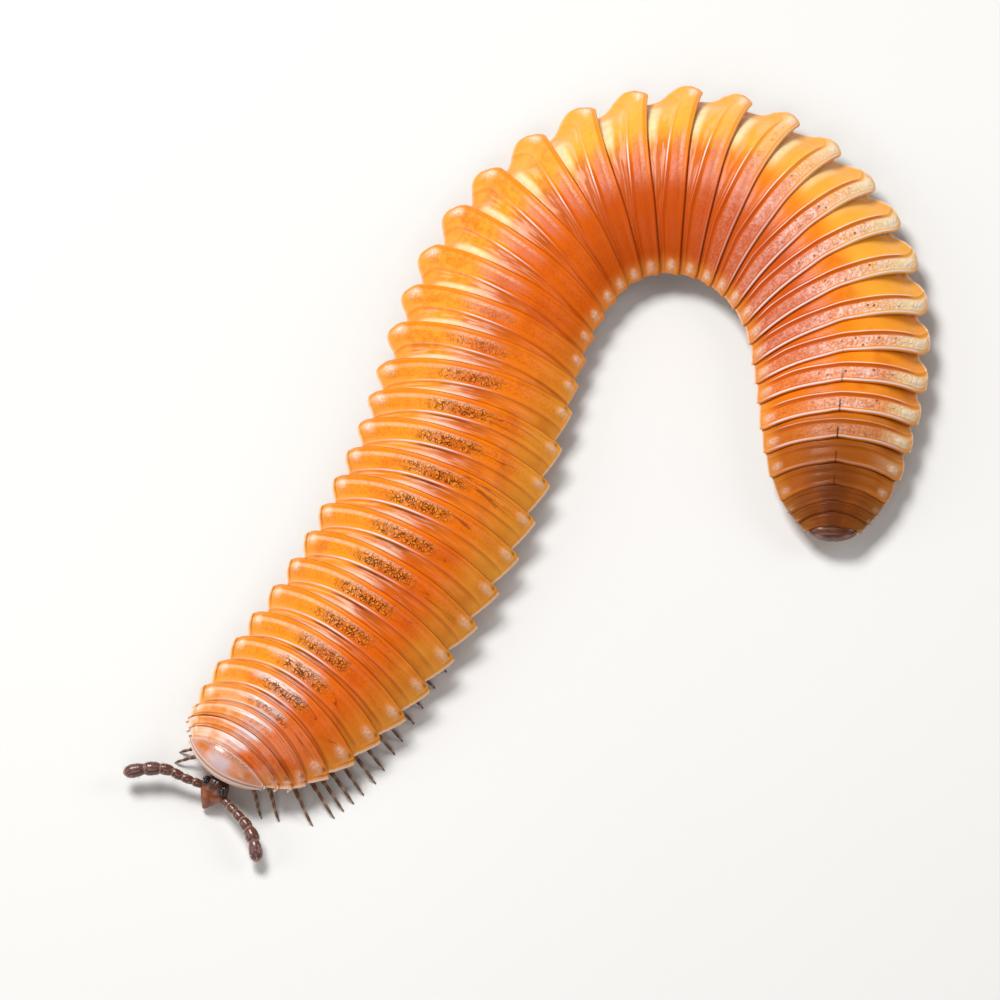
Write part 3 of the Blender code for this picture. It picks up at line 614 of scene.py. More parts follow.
# Shape of the ring plates
plate = {
    "plateLength": ((1, 0.31), (7, 0.355), (16, 0.35), (24, 0.33), (30, 0.31), (42, 0.31)),
    "bandShare": (0.12, 0.55),
    # the ridge and the rear rim: length, and most of what the band leaves
    "strips": ((0.09, 0.28), (0.09, 0.3)),
    "tuck": 0.07,
    "tuckBehind": 0.03,
    "thickness": 0.03,
    # depth of the notch between two lobes as a share of the spacing, and the lobe's outline along the ring
    "outerNotch": ((1, 0.04), (4, 0.1), (8, 0.33), (16, 0.35), (24, 0.33), (28, 0.29), (34, 0.3), (38, 0.2),
                   (42, 0.04)),
    "innerNotch": ((1, 0.03), (4, 0.1), (6, 0.22), (10, 0.27), (16, 0.25), (24, 0.14), (30, 0.08), (35, 0.1),
                   (39, 0.08), (42, 0.03)),
    "notchLimits": (0, 0.26),
    "outerLobe": ((-1, 1), (0.25, 1), (0.38, 0.85), (0.5, 0.56), (0.6, 0.34), (0.75, 0.15), (0.88, 0.04),
                  (1, 0)),
    "bendLobe": ((-1, 1), (0.34, 1), (0.46, 0.84), (0.57, 0.56), (0.67, 0.3), (0.76, 0.12), (0.84, 0.02),
                 (0.9, 0), (1, 0.06)),
    "tailLobe": ((-1, 1), (0.17, 1), (0.24, 0.84), (0.32, 0.58), (0.42, 0.35), (0.54, 0.17), (0.68, 0.05),
                 (0.82, 0), (1, 0.06)),
    "lobeSoft": 0.05,
    "bendRings": ((1, 0), (12, 0), (15, 1), (28, 1), (31, 0), (42, 0)),
    "tailRings": ((1, 0), (28, 0), (31, 1), (42, 1)),
    "innerLobe": ((-1, 1), (0.15, 1), (0.45, 0.55), (0.74, 0.17), (0.9, 0.03), (1, 0)),
    "reliefRows": ((-1, -0.07), (-0.2, -0.046), (0, -0.038), (0.45, -0.027), (0.95, -0.03), (1.12, -0.022),
                   (1.3, 0.004), (1.42, 0.008), (1.6, -0.004), (1.9, -0.016), (2.15, -0.01), (2.5, 0),
                   (2.95, -0.004), (3.1, -0.01), (3.3, -0.002), (3.6, 0.006), (3.8, 0.007), (3.94, 0.001),
                   (4, -0.01), (4.2, -0.034)),
    "keel": ((1, 0), (26, 0), (31, 0.006), (38, 0.006), (42, 0)),
    "rimDrop": ((1, 0), (25, 0), (29, 0.024), (42, 0.02)),
    "kink": ((1, 0), (26, 0), (31, 0.015), (38, 0.03), (42, 0.01)),
    "keelWidth": 0.12,
    "kinkWidth": 0.16,
    # the station from which the rear rim drops, and the power of the drop
    "dropFrom": (3.6, 1.5),
    "reliefSoft": 0.06,
    "sideFade": (0.1, 0.6),
    # stations where the relief along the margin begins and ends, and how far it takes
    "lobeStations": (1.5, 0.8, 4.05, 0.3),
    # relief along the margin: distance from it, width, height
    "marginRim": (0.02, 0.016, 0.01),
    "marginGroove": (0.055, 0.014, -0.006),
    "stationRows": (-1, -0.5, 0, 0.25, 0.5, 0.75, 0.95, 1.08, 1.2, 1.3, 1.4, 1.5, 1.6, 1.7, 1.82, 1.95, 2.1,
                    2.3, 2.5, 2.7, 2.88, 3, 3.1, 3.2, 3.35, 3.5, 3.65, 3.8, 3.9, 3.97, 4, 4.1, 4.2),
    "columns": 121,
    "marginSteps": 0.35,
    # the boss on each lobe: how far in, its size across and along, its height, how far ahead of the edge
    "outerBossIn": ((1, 0.11), (12, 0.13), (17, 0.16), (25, 0.19), (42, 0.15)),
    "innerBossIn": ((1, 0.15), (14, 0.13), (19, 0.085), (28, 0.085), (34, 0.14), (42, 0.15)),
    "outerBossSize": ((1, 0.055), (12, 0.06), (17, 0.09), (28, 0.11), (33, 0.095), (37, 0.08), (42, 0.06)),
    "innerBossSize": ((1, 0.085), (14, 0.085), (19, 0.055), (28, 0.055), (34, 0.08), (42, 0.07)),
    "bossLength": 0.06,
    "bossHeight": 0.026,
    "bossAhead": 0.125,
    "bossShine": (1.2, 0.15),
    # a pit beside the boss: distance from the margin and from the edge, size, depth, share on the outer side
    "pit": (0.085, 0.045, 0.02, 0.008, 0.3),
    "fullPitch": 0.3,
    "patternStep": (7.3, 3.7),
}


def columnPlaces(count):
    # even steps that get shorter towards both margins
    even = np.linspace(-1, 1, count)
    return even + plate["marginSteps"] / math.pi * np.sin(math.pi * even)


def shareAt(ring, station, pitch):
    # how far along the local pitch a station lies
    band = np.clip(1 - readRow(plate["plateLength"], ring) / pitch, *plate["bandShare"])
    ridge, rim = (np.minimum(length / pitch, most * (1 - band)) for length, most in plate["strips"])
    knots = (-1.0, 0.0, 1.0, 2.0, 3.0, 4.0)
    values = (-plate["tuck"] / pitch, 0 * band, band, band + ridge, 1 - rim, 1 + 0 * band)
    share = np.zeros(station.shape)
    for (a, low), (b, high) in zip(zip(knots, values), zip(knots[1:], values[1:])):
        inside = (station >= a) & (station <= b)
        share = np.where(inside, low + (high - low) * (station - a) / (b - a), share)
    return np.where(station > 4, 1 - (station - 4) * plate["tuckBehind"] / pitch, share)


def makeRingPlate(ring):
    column, station = np.meshgrid(columnPlaces(plate["columns"]), np.array(plate["stationRows"]))
    outer = column > 0

    def rowHere(outerName, innerName):
        return np.where(outer, readRow(plate[outerName], ring), readRow(plate[innerName], ring))

    def valueHere(name):
        return readRow(plate[name], ring)

    full = halfWidth(ring)
    corner = readRow(body["cornerHeights"], ring)
    front = rimPlace(ring - 1, column)
    rear = rimPlace(ring, column)
    spacing = coursePoint(rear, column * full, 0) - coursePoint(front, column * full, 0)
    pitch = np.linalg.norm(spacing, axis=-1)
    share = shareAt(ring, station, pitch)
    half = halfWidth(ring - 1 + np.clip(share, 0, 1))
    size = min(1.0, full) * np.minimum(1.0, pitch / plate["fullPitch"])
    # the margin runs in behind each lobe, in a way of its own on the bend and on the tail arm
    bend, tail = valueHere("bendRings"), valueHere("tailRings")
    lobe = sum(weight * softRead(plate[name], share, plate["lobeSoft"]) for weight, name in (
        (1 - bend - tail, "outerLobe"), (bend, "bendLobe"), (tail, "tailLobe")))
    lobe = np.where(outer, lobe, softRead(plate["innerLobe"], share, plate["lobeSoft"]))
    width = half - np.clip(rowHere("outerNotch", "innerNotch") * pitch, *plate["notchLimits"]) * lobe
    s = front + share * (rear - front)
    s = s - valueHere("kink") * bell(column, 0, plate["kinkWidth"]) * np.clip(share, 0, 1)
    inset = (1 - np.abs(column)) * width
    toEdge = (1 - share) * pitch
    # heights over the dome
    fade, least = plate["sideFade"]
    fade = least + (1 - least) * np.clip((1 - np.abs(column)) / fade, 0, 1)
    relief = softRead(plate["reliefRows"], station, plate["reliefSoft"]) * fade
    begin, rise, end, fall = plate["lobeStations"]
    onLobe = np.clip((station - begin) / rise, 0, 1) * np.clip((end - station) / fall, 0, 1)
    for middle, spread, height in (plate["marginRim"], plate["marginGroove"]):
        relief += height * bell(inset, middle, spread) * onLobe
    wide = rowHere("outerBossSize", "innerBossSize") * np.sqrt(size)
    long = plate["bossLength"] * np.sqrt(size)
    bossIn = rowHere("outerBossIn", "innerBossIn") * size
    boss = bell(inset, bossIn, wide) * bell(toEdge, plate["bossAhead"] * size, long)
    pitIn, pitAhead, pitSize, pitDepth, outerPit = plate["pit"]
    pit = bell(inset, pitIn, pitSize) * bell(toEdge, pitAhead, pitSize)
    relief += plate["bossHeight"] * boss - pitDepth * pit * (1 - outer)
    relief += valueHere("keel") * bell(column, 0, plate["keelWidth"])
    dropFrom, dropPower = plate["dropFrom"]
    relief -= valueHere("rimDrop") * np.clip((station - dropFrom) / (4 - dropFrom), 0, 1) ** dropPower
    piece = addGrid("plate", coursePoint(s, column * width, domeHeight(column, half, corner) + relief * size))
    bossScale, bossLess = plate["bossShine"]
    acrossStep, alongStep = plate["patternStep"]
    addAttributes(piece, column=column, station=station, ring=np.full_like(column, ring), margin=inset,
                  boss=np.clip(boss * bossScale - bossLess, 0, 1), pit=np.where(outer, outerPit, 1.0) * pit,
                  placeOnRing=np.stack((column * half + acrossStep * ring, share * pitch + alongStep * ring,
                                        np.zeros_like(column)), axis=-1))
    thicken(piece, plate["thickness"])
    return piece


def makePlates():
    material = makePlateMaterial()
    for number, (first, last) in enumerate(body["lengths"], start=1):
        joined = joinPieces([makeRingPlate(ring) for ring in range(first, last + 1)], "plates%d" % number)
        turnOutwards(joined)
        finishPiece(joined, material, ["trunk_%d" % number])


# Collum: the shield over the head, with a raised rim all round its front
collum = {
    "side": 0.04,
    "front": 0.27,
    "bowPower": 0.8,
    "marginRise": 0.07,
    "rows": 40,
    "rowPower": 0.85,
    "columns": 101,
    "spread": 0.03,
    "thickness": 0.035,
    "sideShare": 1.1,
    # distance from the edge and width, of two rims, the groove between them and the rim at the rear
    "edges": ((0.012, 0.01), (0.045, 0.009), (0.028, 0.007), (0.02, 0.012)),
    "edgeHeights": (0.01, 0.006, -0.006, 0.005),
    "edgeTones": (1, 0.6, 0, 0.4),
    "shader": horn(0.24, 0.35, 0.1, 0.12, (1, 0.4, 0.2), 0.12, 1.48),
    "cuticle": (40, 4),
    "ground": "pale",
    "pale": (0.66, 0.3, 0.19),
    "lilac": (0.66, 0.47, 0.48),
    "orange": (0.66, 0.17, 0.01),
    "umber": (0.3, 0.09, 0.04),
    "white": (0.98, 0.84, 0.76),
    "line": (0.2, 0.05, 0.02),
    "layers": (
        # painted sheen: lilac over the middle of the shield
        ("lilac", 1, ("column", -0.45, -0.1, 0.15, 0.5), ("row", 0.25, 0.45, 0.75, 0.9),
         ("patches", 0.35, 0.55, (0.6, 1))),
        ("umber", 0.8, ("row", 0, 0.45, (1, 0)), ("column", -0.8, -0.5, 0.5, 0.8), ("grain", 0.4, 0.56)),
        ("orange", 0.95, ("column", 0.25, 0.5, 0.62, 0.8), ("row", 0.2, 0.4, 0.6, 0.8),
         ("patches", 0.3, 0.55)),
        ("orange", 0.95, ("column", -0.85, -0.6, -0.35, -0.1), ("row", 0.1, 0.3, 0.65, 0.85),
         ("patches", 0.3, 0.55)),
        ("white", 0.8, "rim"),
        ("line", 0.5, "groove"),
    ),
    "bump": (0.4, 0.004),
}


def makeCollum():
    column, row = np.meshgrid(columnPlaces(collum["columns"]),
                              np.linspace(0, 1, collum["rows"]) ** collum["rowPower"])
    half = halfWidth(1)
    corner = readRow(body["cornerHeights"], 1)
    bow = (1 - column * column) ** collum["bowPower"]
    rear = rimPlace(1, column)
    depth = rear + collum["side"] + collum["front"] * bow
    margin = corner + collum["marginRise"] * bow
    z = margin + (domeHeight(column, half, corner) - margin) * np.sqrt(1 - row * row)
    spread = 1 + collum["spread"] * np.sin(math.pi * row)
    toEdge = np.minimum((1 - row) * depth, (1 - np.abs(column)) * half * collum["sideShare"])
    *fronts, behind = collum["edges"]
    edges = [bell(toEdge, *edge) for edge in fronts] + [bell(row * depth, *behind)]
    z = z + sum(height * edge for height, edge in zip(collum["edgeHeights"], edges))
    piece = addGrid("collumShield", coursePoint(rear - row * depth, column * half * spread, z))
    rim = sum(tone * edge for tone, edge in zip(collum["edgeTones"], edges))
    addAttributes(piece, column=column, row=row, groove=edges[2], rim=np.clip(rim, 0, 1))
    thicken(piece, collum["thickness"])
    turnOutwards(piece)
    finishPiece(piece, makeSurface("paleShield", collum), ["collum"])


# Soft skin: one closed bag under the plates, with folds between the rings and swellings at the legs' roots
skin = {
    "around": 64,
    "rowsPerRing": 8,
    # start before the first ring, end behind the last, rings over which it tapers, and to what share
    "ends": (0.4, 0.2, 0.8, 0.35),
    "underPlates": 0.1,
    "behindRim": 0.1,
    "widthShare": 0.78,
    "belly": 0.24,
    "bellyUnder": 0.1,
    "bellyHollow": 0.05,
    "roundness": (0.55, 0.45),
    "foldDepth": 0.03,
    "foldPower": 6,
    "foldTop": 0.3,
    "rootSwell": 0.035,
    "rootPlace": (0.18, 0.1),
    "shader": horn(0.5, 0.15, 0.2, 0.3, (1, 0.45, 0.2), 0.15),
    "cuticle": (60, 2.5),
    "ground": "cream",
    "cream": (0.86, 0.6, 0.36),
    "shade": (0.72, 0.36, 0.14),
    "crease": (0.42, 0.17, 0.06),
    "layers": (("shade", 1, ("patches", 0.35, 0.65)), ("crease", 1, ("fold", 0.45, 1, (0, 0.85)))),
    "roughness": (0.36, 0.6),
    "bump": (0.5, 0.005),
}


def makeSkin():
    early, late, taperRings, taperLeast = skin["ends"]
    rings = np.linspace(early, body["lastRing"] + late, body["lastRing"] * skin["rowsPerRing"])
    angle, ring = np.meshgrid(np.linspace(0, 2 * math.pi, skin["around"], endpoint=False), rings)
    half = halfWidth(np.clip(ring, 1, body["lastRing"]))
    corner = readRow(body["cornerHeights"], np.clip(ring, 1, body["lastRing"]))
    end = np.clip((ring - rings[0]) / taperRings, 0, 1) * np.clip((rings[-1] - ring) / taperRings, 0, 1)
    taper = taperLeast + (1 - taperLeast) * np.sqrt(1 - (1 - end) ** 2)
    side = half * skin["widthShare"] * taper * np.cos(angle)
    column = np.clip(side / half, -1, 1)
    small = np.minimum(1, half)
    top = domeHeight(column, half, corner) - skin["underPlates"] * small
    belly = np.minimum(skin["belly"], corner - skin["bellyUnder"])
    middle = (corner + belly) / 2
    fold = 1 - np.abs(np.mod(ring, 1) * 2 - 1)
    fold = np.where(np.sin(angle) < skin["foldTop"], fold, 0) ** skin["foldPower"]
    swell = bell(np.abs(side), *skin["rootPlace"]) * np.abs(np.sin(2 * math.pi * ring))
    under = belly + skin["bellyHollow"] * np.cos(angle) ** 2 + skin["foldDepth"] * fold
    under -= skin["rootSwell"] * swell * small
    lift = np.abs(np.sin(angle))
    above, below = skin["roundness"]
    rise = np.where(np.sin(angle) >= 0, (top - middle) * lift ** above, (under - middle) * lift ** below)
    points = coursePoint(rimPlace(ring, column) - skin["behindRim"] * small, side, middle + rise * taper)
    piece = addGrid("bodySkin", np.concatenate((points, points[:, :1]), axis=1))
    addAttributes(piece, fold=np.concatenate((fold, fold[:, :1]), axis=1))
    turnOutwards(piece, close=True)
    material = makeSurface("softSkin", skin)
    linkShader("Roughness", ramp(field("fold"), 0.0, 1.0, skin["roughness"]))
    finishPiece(piece, material, ["trunk_%d" % (n + 1) for n in range(len(body["lengths"]))])


# Legs: one leg of eight articles is modelled straight, then a copy is bent to each place
legs = {
    "firstRing": 2,
    "lastRing": 38,
    "singleRings": (2, 3, 4, 38),
    "frontReach": ((2, 0.72), (3, 0.9), (4, 1.27), (5, 1.41), (6, 1.46), (7, 1.48), (8, 1.4), (10, 1.25)),
    "frontLean": ((2, -0.42), (3, -0.42), (4, -0.4), (5, -0.38), (6, -0.3), (7, -0.22), (8, -0.12), (11, 0)),
    "maxReach": 1.3,
    "reachShare": 0.8,
    "farSideShare": 0.9,
    "stepWave": 0.045,
    "wavePairs": 9,
    "farSidePhase": 0.6,
    "strayLean": 0.015,
    "strayRise": 0.01,
    "pairShares": (0.28, 0.76),
    "singleShare": 0.5,
    "pressStep": 0.1,
    "pressedShare": 0.6,
    "thickFrom": 0.15,
    # where the leg leaves the belly: the most, and the share of the half width
    "root": (0.14, 0.16),
    # places along the leg: share of the reach, height, whether the stray rise counts, share of the lean
    "path": ((0, 0.24, 0, 0), (0.3, 0.155, 0, 0.1), (0.56, 0.185, 1, 0.4), (0.74, 0.16, 1, 0.66),
             (0.9, 0.085, 0, 0.9), (1, 0.004, 0, 1)),
    "aheadStep": 0.02,
    # length, radius at the joint and radius at the belly of each article, as shares of the leg
    "articles": ((0.1, 0.052, 0.055), (0.08, 0.046, 0.05), (0.2, 0.04, 0.047), (0.17, 0.036, 0.042),
                 (0.13, 0.031, 0.036), (0.13, 0.026, 0.03), (0.15, 0.02, 0.023), (0.04, 0.012, 0.01)),
    # the belly of an article starts and ends at these shares of its length
    "bellyPlaces": ((0.25, 0.98), (0.7, 1)),
    "tipRadius": 0.004,
    "sides": 10,
    "shader": horn(0.3, 0.3, 0.12, 0.25, (1, 0.4, 0.15), 0.08),
    "cuticle": (60, 5),
    "ground": "amber",
    "amber": (0.36, 0.17, 0.07),
    "brown": (0.13, 0.055, 0.025),
    "pale": (0.5, 0.3, 0.17),
    "claw": (0.1, 0.03, 0.012),
    "layers": (("brown", 1, ("along", 0.2, 0.8)), ("brown", 0.5, ("patches", 0.4, 0.65)),
               ("pale", 0.6, "joint"), ("claw", 1, ("along", 0.955, 0.975))),
    "bump": (0.4, 0.003),
}


def makeStraightLeg():
    # a disc at the root is extruded article by article along X
    deselectAll()
    bpy.ops.mesh.primitive_circle_add(vertices=legs["sides"], radius=1.0, fill_type="NGON",
                                      rotation=(0, math.pi / 2, 0))
    leg = bpy.context.object
    bpy.ops.object.transform_apply(location=True, rotation=True, scale=True)
    rows = []
    done = 0.0
    for length, joint, belly in legs["articles"]:
        rows.append((done, joint, 1.0))
        rows += [(done + place * length, belly * share, 0.0) for place, share in legs["bellyPlaces"]]
        done += length
    rows.append((1.0, legs["tipRadius"], 0.0))
    place, radius, joint = rows[0]
    bpy.ops.object.mode_set(mode="EDIT")
    bpy.ops.mesh.select_all(action="SELECT")
    bpy.ops.transform.resize(value=(radius, radius, radius))
    for nextPlace, nextRadius, joint in rows[1:]:
        bpy.ops.mesh.extrude_region_move(TRANSFORM_OT_translate={"value": (nextPlace - place, 0, 0)})
        bpy.ops.transform.resize(value=(1, nextRadius / radius, nextRadius / radius))
        place, radius = nextPlace, nextRadius
    bpy.ops.object.mode_set(mode="OBJECT")
    along = readPoints(leg)[:, 0]
    addAttributes(leg, along=along, joint=readRow([(row[0], row[2]) for row in rows], along))
    turnOutwards(leg)
    return leg


def followRoute(route, where):
    # a smooth curve through the route's points, read at shares of its length
    spots = np.concatenate([[0], np.cumsum(np.linalg.norm(np.diff(route, axis=0), axis=1))])
    spots /= spots[-1]
    slopes = np.gradient(route, spots, axis=0)
    i = np.clip(np.searchsorted(spots, where, side="right") - 1, 0, len(spots) - 2)
    span = (spots[i + 1] - spots[i])[:, None]
    u = np.clip((where - spots[i])[:, None] / span, 0, 1)
    return ((2 * u ** 3 - 3 * u ** 2 + 1) * route[i] + (u ** 3 - 2 * u ** 2 + u) * span * slopes[i]
            + (3 * u ** 2 - 2 * u ** 3) * route[i + 1] + (u ** 3 - u ** 2) * span * slopes[i + 1])


def squareTo(level, ahead):
    across = np.cross(level, ahead)
    return across / np.linalg.norm(across, axis=-1, keepdims=True)


def bendLeg(master, ring, side, pair):
    leg = master.copy()
    leg.data = master.data.copy()
    bpy.context.scene.collection.objects.link(leg)
    half = halfWidth(ring)
    reach = min(legs["maxReach"], legs["reachShare"] * half)
    if ring <= legs["frontReach"][-1][0]:
        reach = readRow(legs["frontReach"], ring + pair * 0.5)
        if side > 0:
            reach = min(reach, max(legs["farSideShare"] * half, legs["frontReach"][0][1]))
    share = legs["singleShare"] if ring in legs["singleRings"] else legs["pairShares"][pair]
    s = float(rimPlace(ring - 1, 0) + share * (rimPlace(ring, 0) - rimPlace(ring - 1, 0)))
    phase = 2 * math.pi * (2 * ring + pair) / legs["wavePairs"] + (legs["farSidePhase"] if side > 0 else 0)
    lean = readRow(legs["frontLean"], ring + pair * 0.5) + legs["stepWave"] * math.sin(phase)
    lean += stray.uniform(-legs["strayLean"], legs["strayLean"])
    # where the rings are pressed together inside the bend, the legs are thinner and lean less
    step = legs["pressStep"]
    front, rear = (coursePoint(s + way * step, side * reach, 0) for way in (-1, 1))
    press = min(1.0, np.linalg.norm(rear - front) / (2 * step))
    rise = stray.uniform(-legs["strayRise"], legs["strayRise"])
    path = np.array(legs["path"])
    route = np.stack((path[:, 0] * reach, path[:, 1] + path[:, 2] * rise, path[:, 3] * lean * press), axis=-1)
    rootOut, rootShare = legs["root"]
    route[0, 0] = min(rootOut, rootShare * half)
    points = readPoints(leg)
    later = np.minimum(points[:, 0] + legs["aheadStep"], 1)
    ahead = followRoute(route, later) - followRoute(route, later - 2 * legs["aheadStep"])
    thick = min(1.0, half + legs["thickFrom"]) * (legs["pressedShare"] + (1 - legs["pressedShare"]) * press)
    place = followRoute(route, points[:, 0]) + squareTo((0, 0, 1.0), ahead) * points[:, 2:3] * thick
    place[:, 2] += points[:, 1] * thick
    placePoints(leg, coursePoint(s, side * place[:, 0], np.maximum(place[:, 1], 0.0), place[:, 2]))
    return leg


def makeLegs():
    master = makeStraightLeg()
    copies = []
    for ring in range(legs["firstRing"], legs["lastRing"] + 1):
        for pair in ((0,) if ring in legs["singleRings"] else (0, 1)):
            copies += [bendLeg(master, ring, side, pair) for side in (1, -1)]
    bpy.data.objects.remove(master)
    print("legs:", len(copies))
    joined = joinPieces(copies, "legs")
    turnOutwards(joined)
    finishPiece(joined, makeSurface("legHorn", legs))


# Head, in its own frame: X to the mouth, Y to the animal's left, Z to its brow
head = {
    "centre": (0.4, -0.048, 0.222),
    "half": (0.27, 0.2, 0.15),
    "pitch": 32.5,
    "narrow": (0, 0.68, 0.35),
    "faces": (64, 44),
    # angle in degrees under or over the side, width, power of its fading towards the sides, height
    "lines": {"mouth": (-18, 5, 0.5, -0.02), "lip": (8, 6, 0.4, 0.007)},
    # the seam over the brow: width, how steeply it begins, height
    "seam": (0.05, 3, -0.006),
    "shader": horn(0.32, 0.35, 0.12, 0.12, (1, 0.35, 0.12), 0.06),
    "cuticle": (50, 9),
    "ground": "rust",
    "brown": (0.15, 0.035, 0.01),
    "rust": (0.36, 0.09, 0.018),
    "pale": (0.78, 0.33, 0.12),
    "dark": (0.06, 0.016, 0.006),
    "layers": (("brown", 1, ("patches", 0.35, 0.65)), ("dark", 1, ("along", 0.15, -0.35)),
               ("pale", 0.8, "lip"), ("dark", 0.8, "mouth")),
    "striae": {"Scale": 9, "Distortion": 1.5, "Detail": 1},
    "striaeShare": 0.5,
    "striaeBump": (0.5, 0.005),
}


def headMatrix():
    forwards, side, z = head["centre"]
    heading = float(np.interp(0, courseS, courseTurn)) + math.pi
    turn = Matrix.Rotation(heading, 4, "Z") @ Matrix.Rotation(math.radians(head["pitch"]), 4, "Y")
    return Matrix.Translation(Vector(coursePoint(-forwards, side, z))) @ turn


def headPoint(way, grow=0.0):
    # the capsule gets narrower and flatter towards the mouth
    ahead = np.maximum(way[..., :1], 0)
    return way * (np.array(head["half"]) * (1 - np.array(head["narrow"]) * ahead) + grow)


def makeHead():
    piece = addBall("headCapsule", head["faces"])
    way = readPoints(piece)
    way /= np.linalg.norm(way, axis=1, keepdims=True)
    angle = np.degrees(np.arctan2(way[:, 2], np.abs(way[:, 1])))
    height = np.zeros(len(way))
    lines = {}
    for name, (middle, width, power, rise) in head["lines"].items():
        lines[name] = bell(angle, middle, width) * np.maximum(way[:, 0], 0) ** power
        height += rise * lines[name]
    width, steep, rise = head["seam"]
    height += rise * bell(way[:, 1], 0, width) * np.clip(-way[:, 0] * steep, 0, 1) * (way[:, 2] > 0)
    points = headPoint(way) + way * height[:, None]
    addAttributes(piece, along=way[:, 0], headPlace=points, **lines)
    placePoints(piece, points)
    piece.data.transform(headMatrix())
    material = makeSurface("headHorn", head)
    striae = addNode("ShaderNodeTexWave", {"bands_direction": "Y"},
                     {"Vector": field("headPlace", "Vector"), **head["striae"]}).outputs["Fac"]
    addBump(calc("MULTIPLY_ADD", striae, head["striaeShare"], field("grain")), *head["striaeBump"])
    finishPiece(piece, material, ["head"], 80)


# Eyes: four round lenses on a low dark mound, on each side
eyes = {
    "place": (-0.1, 0.133, 0.097),
    "mound": (0.07, 0.05, 0.042),
    "moundFaces": (24, 16),
    "outwards": (-0.1, 0.62, 0.78),
    "lift": 0.036,
    "lens": 0.026,
    "lensFaces": (16, 12),
    "spots": ((0.034, 0.006), (-0.004, -0.02), (-0.006, 0.026), (-0.044, 0.004)),
    "shader": horn(0.06, 0.8, 0.02),
    "cuticle": (90, 30),
    "ground": "black",
    "black": (0.003, 0.002, 0.002),
    "brown": (0.01, 0.004, 0.003),
    "layers": (("brown", 1, ("patches", 0.4, 0.6)),),
}


def makeEyes():
    material = makeSurface("eyeLens", eyes)
    for name, side in (("Left", 1), ("Right", -1)):
        mirror = Vector((1, side, 1))
        centre = Vector(eyes["place"]) * mirror
        outwards = (Vector(eyes["outwards"]) * mirror).normalized()
        flat = outwards.to_track_quat("Z", "X").to_matrix().to_4x4()
        parts = [("mound", eyes["moundFaces"], eyes["mound"], centre)]
        for x, y in eyes["spots"]:
            spot = centre + Vector((x, 0, 0)) + outwards * eyes["lift"] + (flat @ Vector((y, 0, 0)))
            parts.append(("lens", eyes["lensFaces"], eyes["lens"], spot))
        pieces = []
        for part, faces, size, spot in parts:
            piece = addBall(part, faces)
            placePoints(piece, readPoints(piece) * np.array(size))
            piece.data.transform(Matrix.Translation(spot))
            pieces.append(piece)
        joined = joinPieces(pieces, "eye" + name)
        joined.data.transform(headMatrix())
        finishPiece(joined, material, ["eye_" + name.lower()])


# Feelers: six articles, the last two a club, with fine pale hairs
feelers = {
    "socketWay": (0, 0.97, 0.2),
    "socketDepth": 0.03,
    "articles": ((0.14, 0.06), (0.14, 0.062), (0.15, 0.067), (0.17, 0.08), (0.2, 0.096), (0.29, 0.096)),
    # along each article: place and share of its radius
    "profile": ((0.04, 0.76), (0.22, 0.92), (0.55, 1), (0.82, 0.98), (0.96, 0.84)),
    "profileSoft": 0.006,
    "tip": (0.86, 2.4),
    "tipEnd": 0.999,
    "jointWidth": 0.01,
    "routes": {
        "Left": ((0, 0, 0), (0.153, -0.193, 0.023), (0.31, -0.395, 0.033), (0.41, -0.6, 0.023),
                 (0.47, -0.921, -0.047)),
        "Right": ((0, 0, 0), (-0.25, 0.085, 0.05), (-0.489, 0.191, 0.083), (-0.786, 0.203, 0.073),
                  (-1.077, 0.157, 0.043)),
    },
    "sides": 20,
    "steps": 120,
    "hairs": 130,
    "hairPlaces": (0.06, 0.98),
    "hairRoot": 0.9,
    "hairLean": (0.5, 1.1),
    "hairLength": (0.035, 0.075),
    "hairWidth": 0.0035,
    "shader": horn(0.28, 0.4, 0.1, 0.1, (1, 0.4, 0.3), 0.05),
    "cuticle": (55, 6),
    "ground": "brown",
    "brown": (0.12, 0.032, 0.016),
    "plum": (0.14, 0.055, 0.048),
    "pale": (0.5, 0.28, 0.2),
    "hairTone": (0.75, 0.62, 0.5),
    "layers": (("plum", 1, ("along", 0.3, 0.9)), ("brown", 0.5, ("patches", 0.45, 0.65)),
               ("pale", 0.5, "joint"), ("pale", 1, ("along", 0.95, 1, (0, 0.8))), ("hairTone", 1, "hair")),
    "bump": (0.5, 0.004),
}


def feelerRadius(share, total):
    rows = [(0.0, feelers["articles"][0][1] * feelers["profile"][0][1])]
    done = 0.0
    for length, radius in feelers["articles"]:
        rows += [((done + place * length) / total, radius * part) for place, part in feelers["profile"]]
        done += length
    start, power = feelers["tip"]
    tip = np.clip((share - start) / (1 - start), 0, 1)
    return softRead(rows, share, feelers["profileSoft"]) * np.sqrt(np.maximum(1 - tip ** power, 0.0))


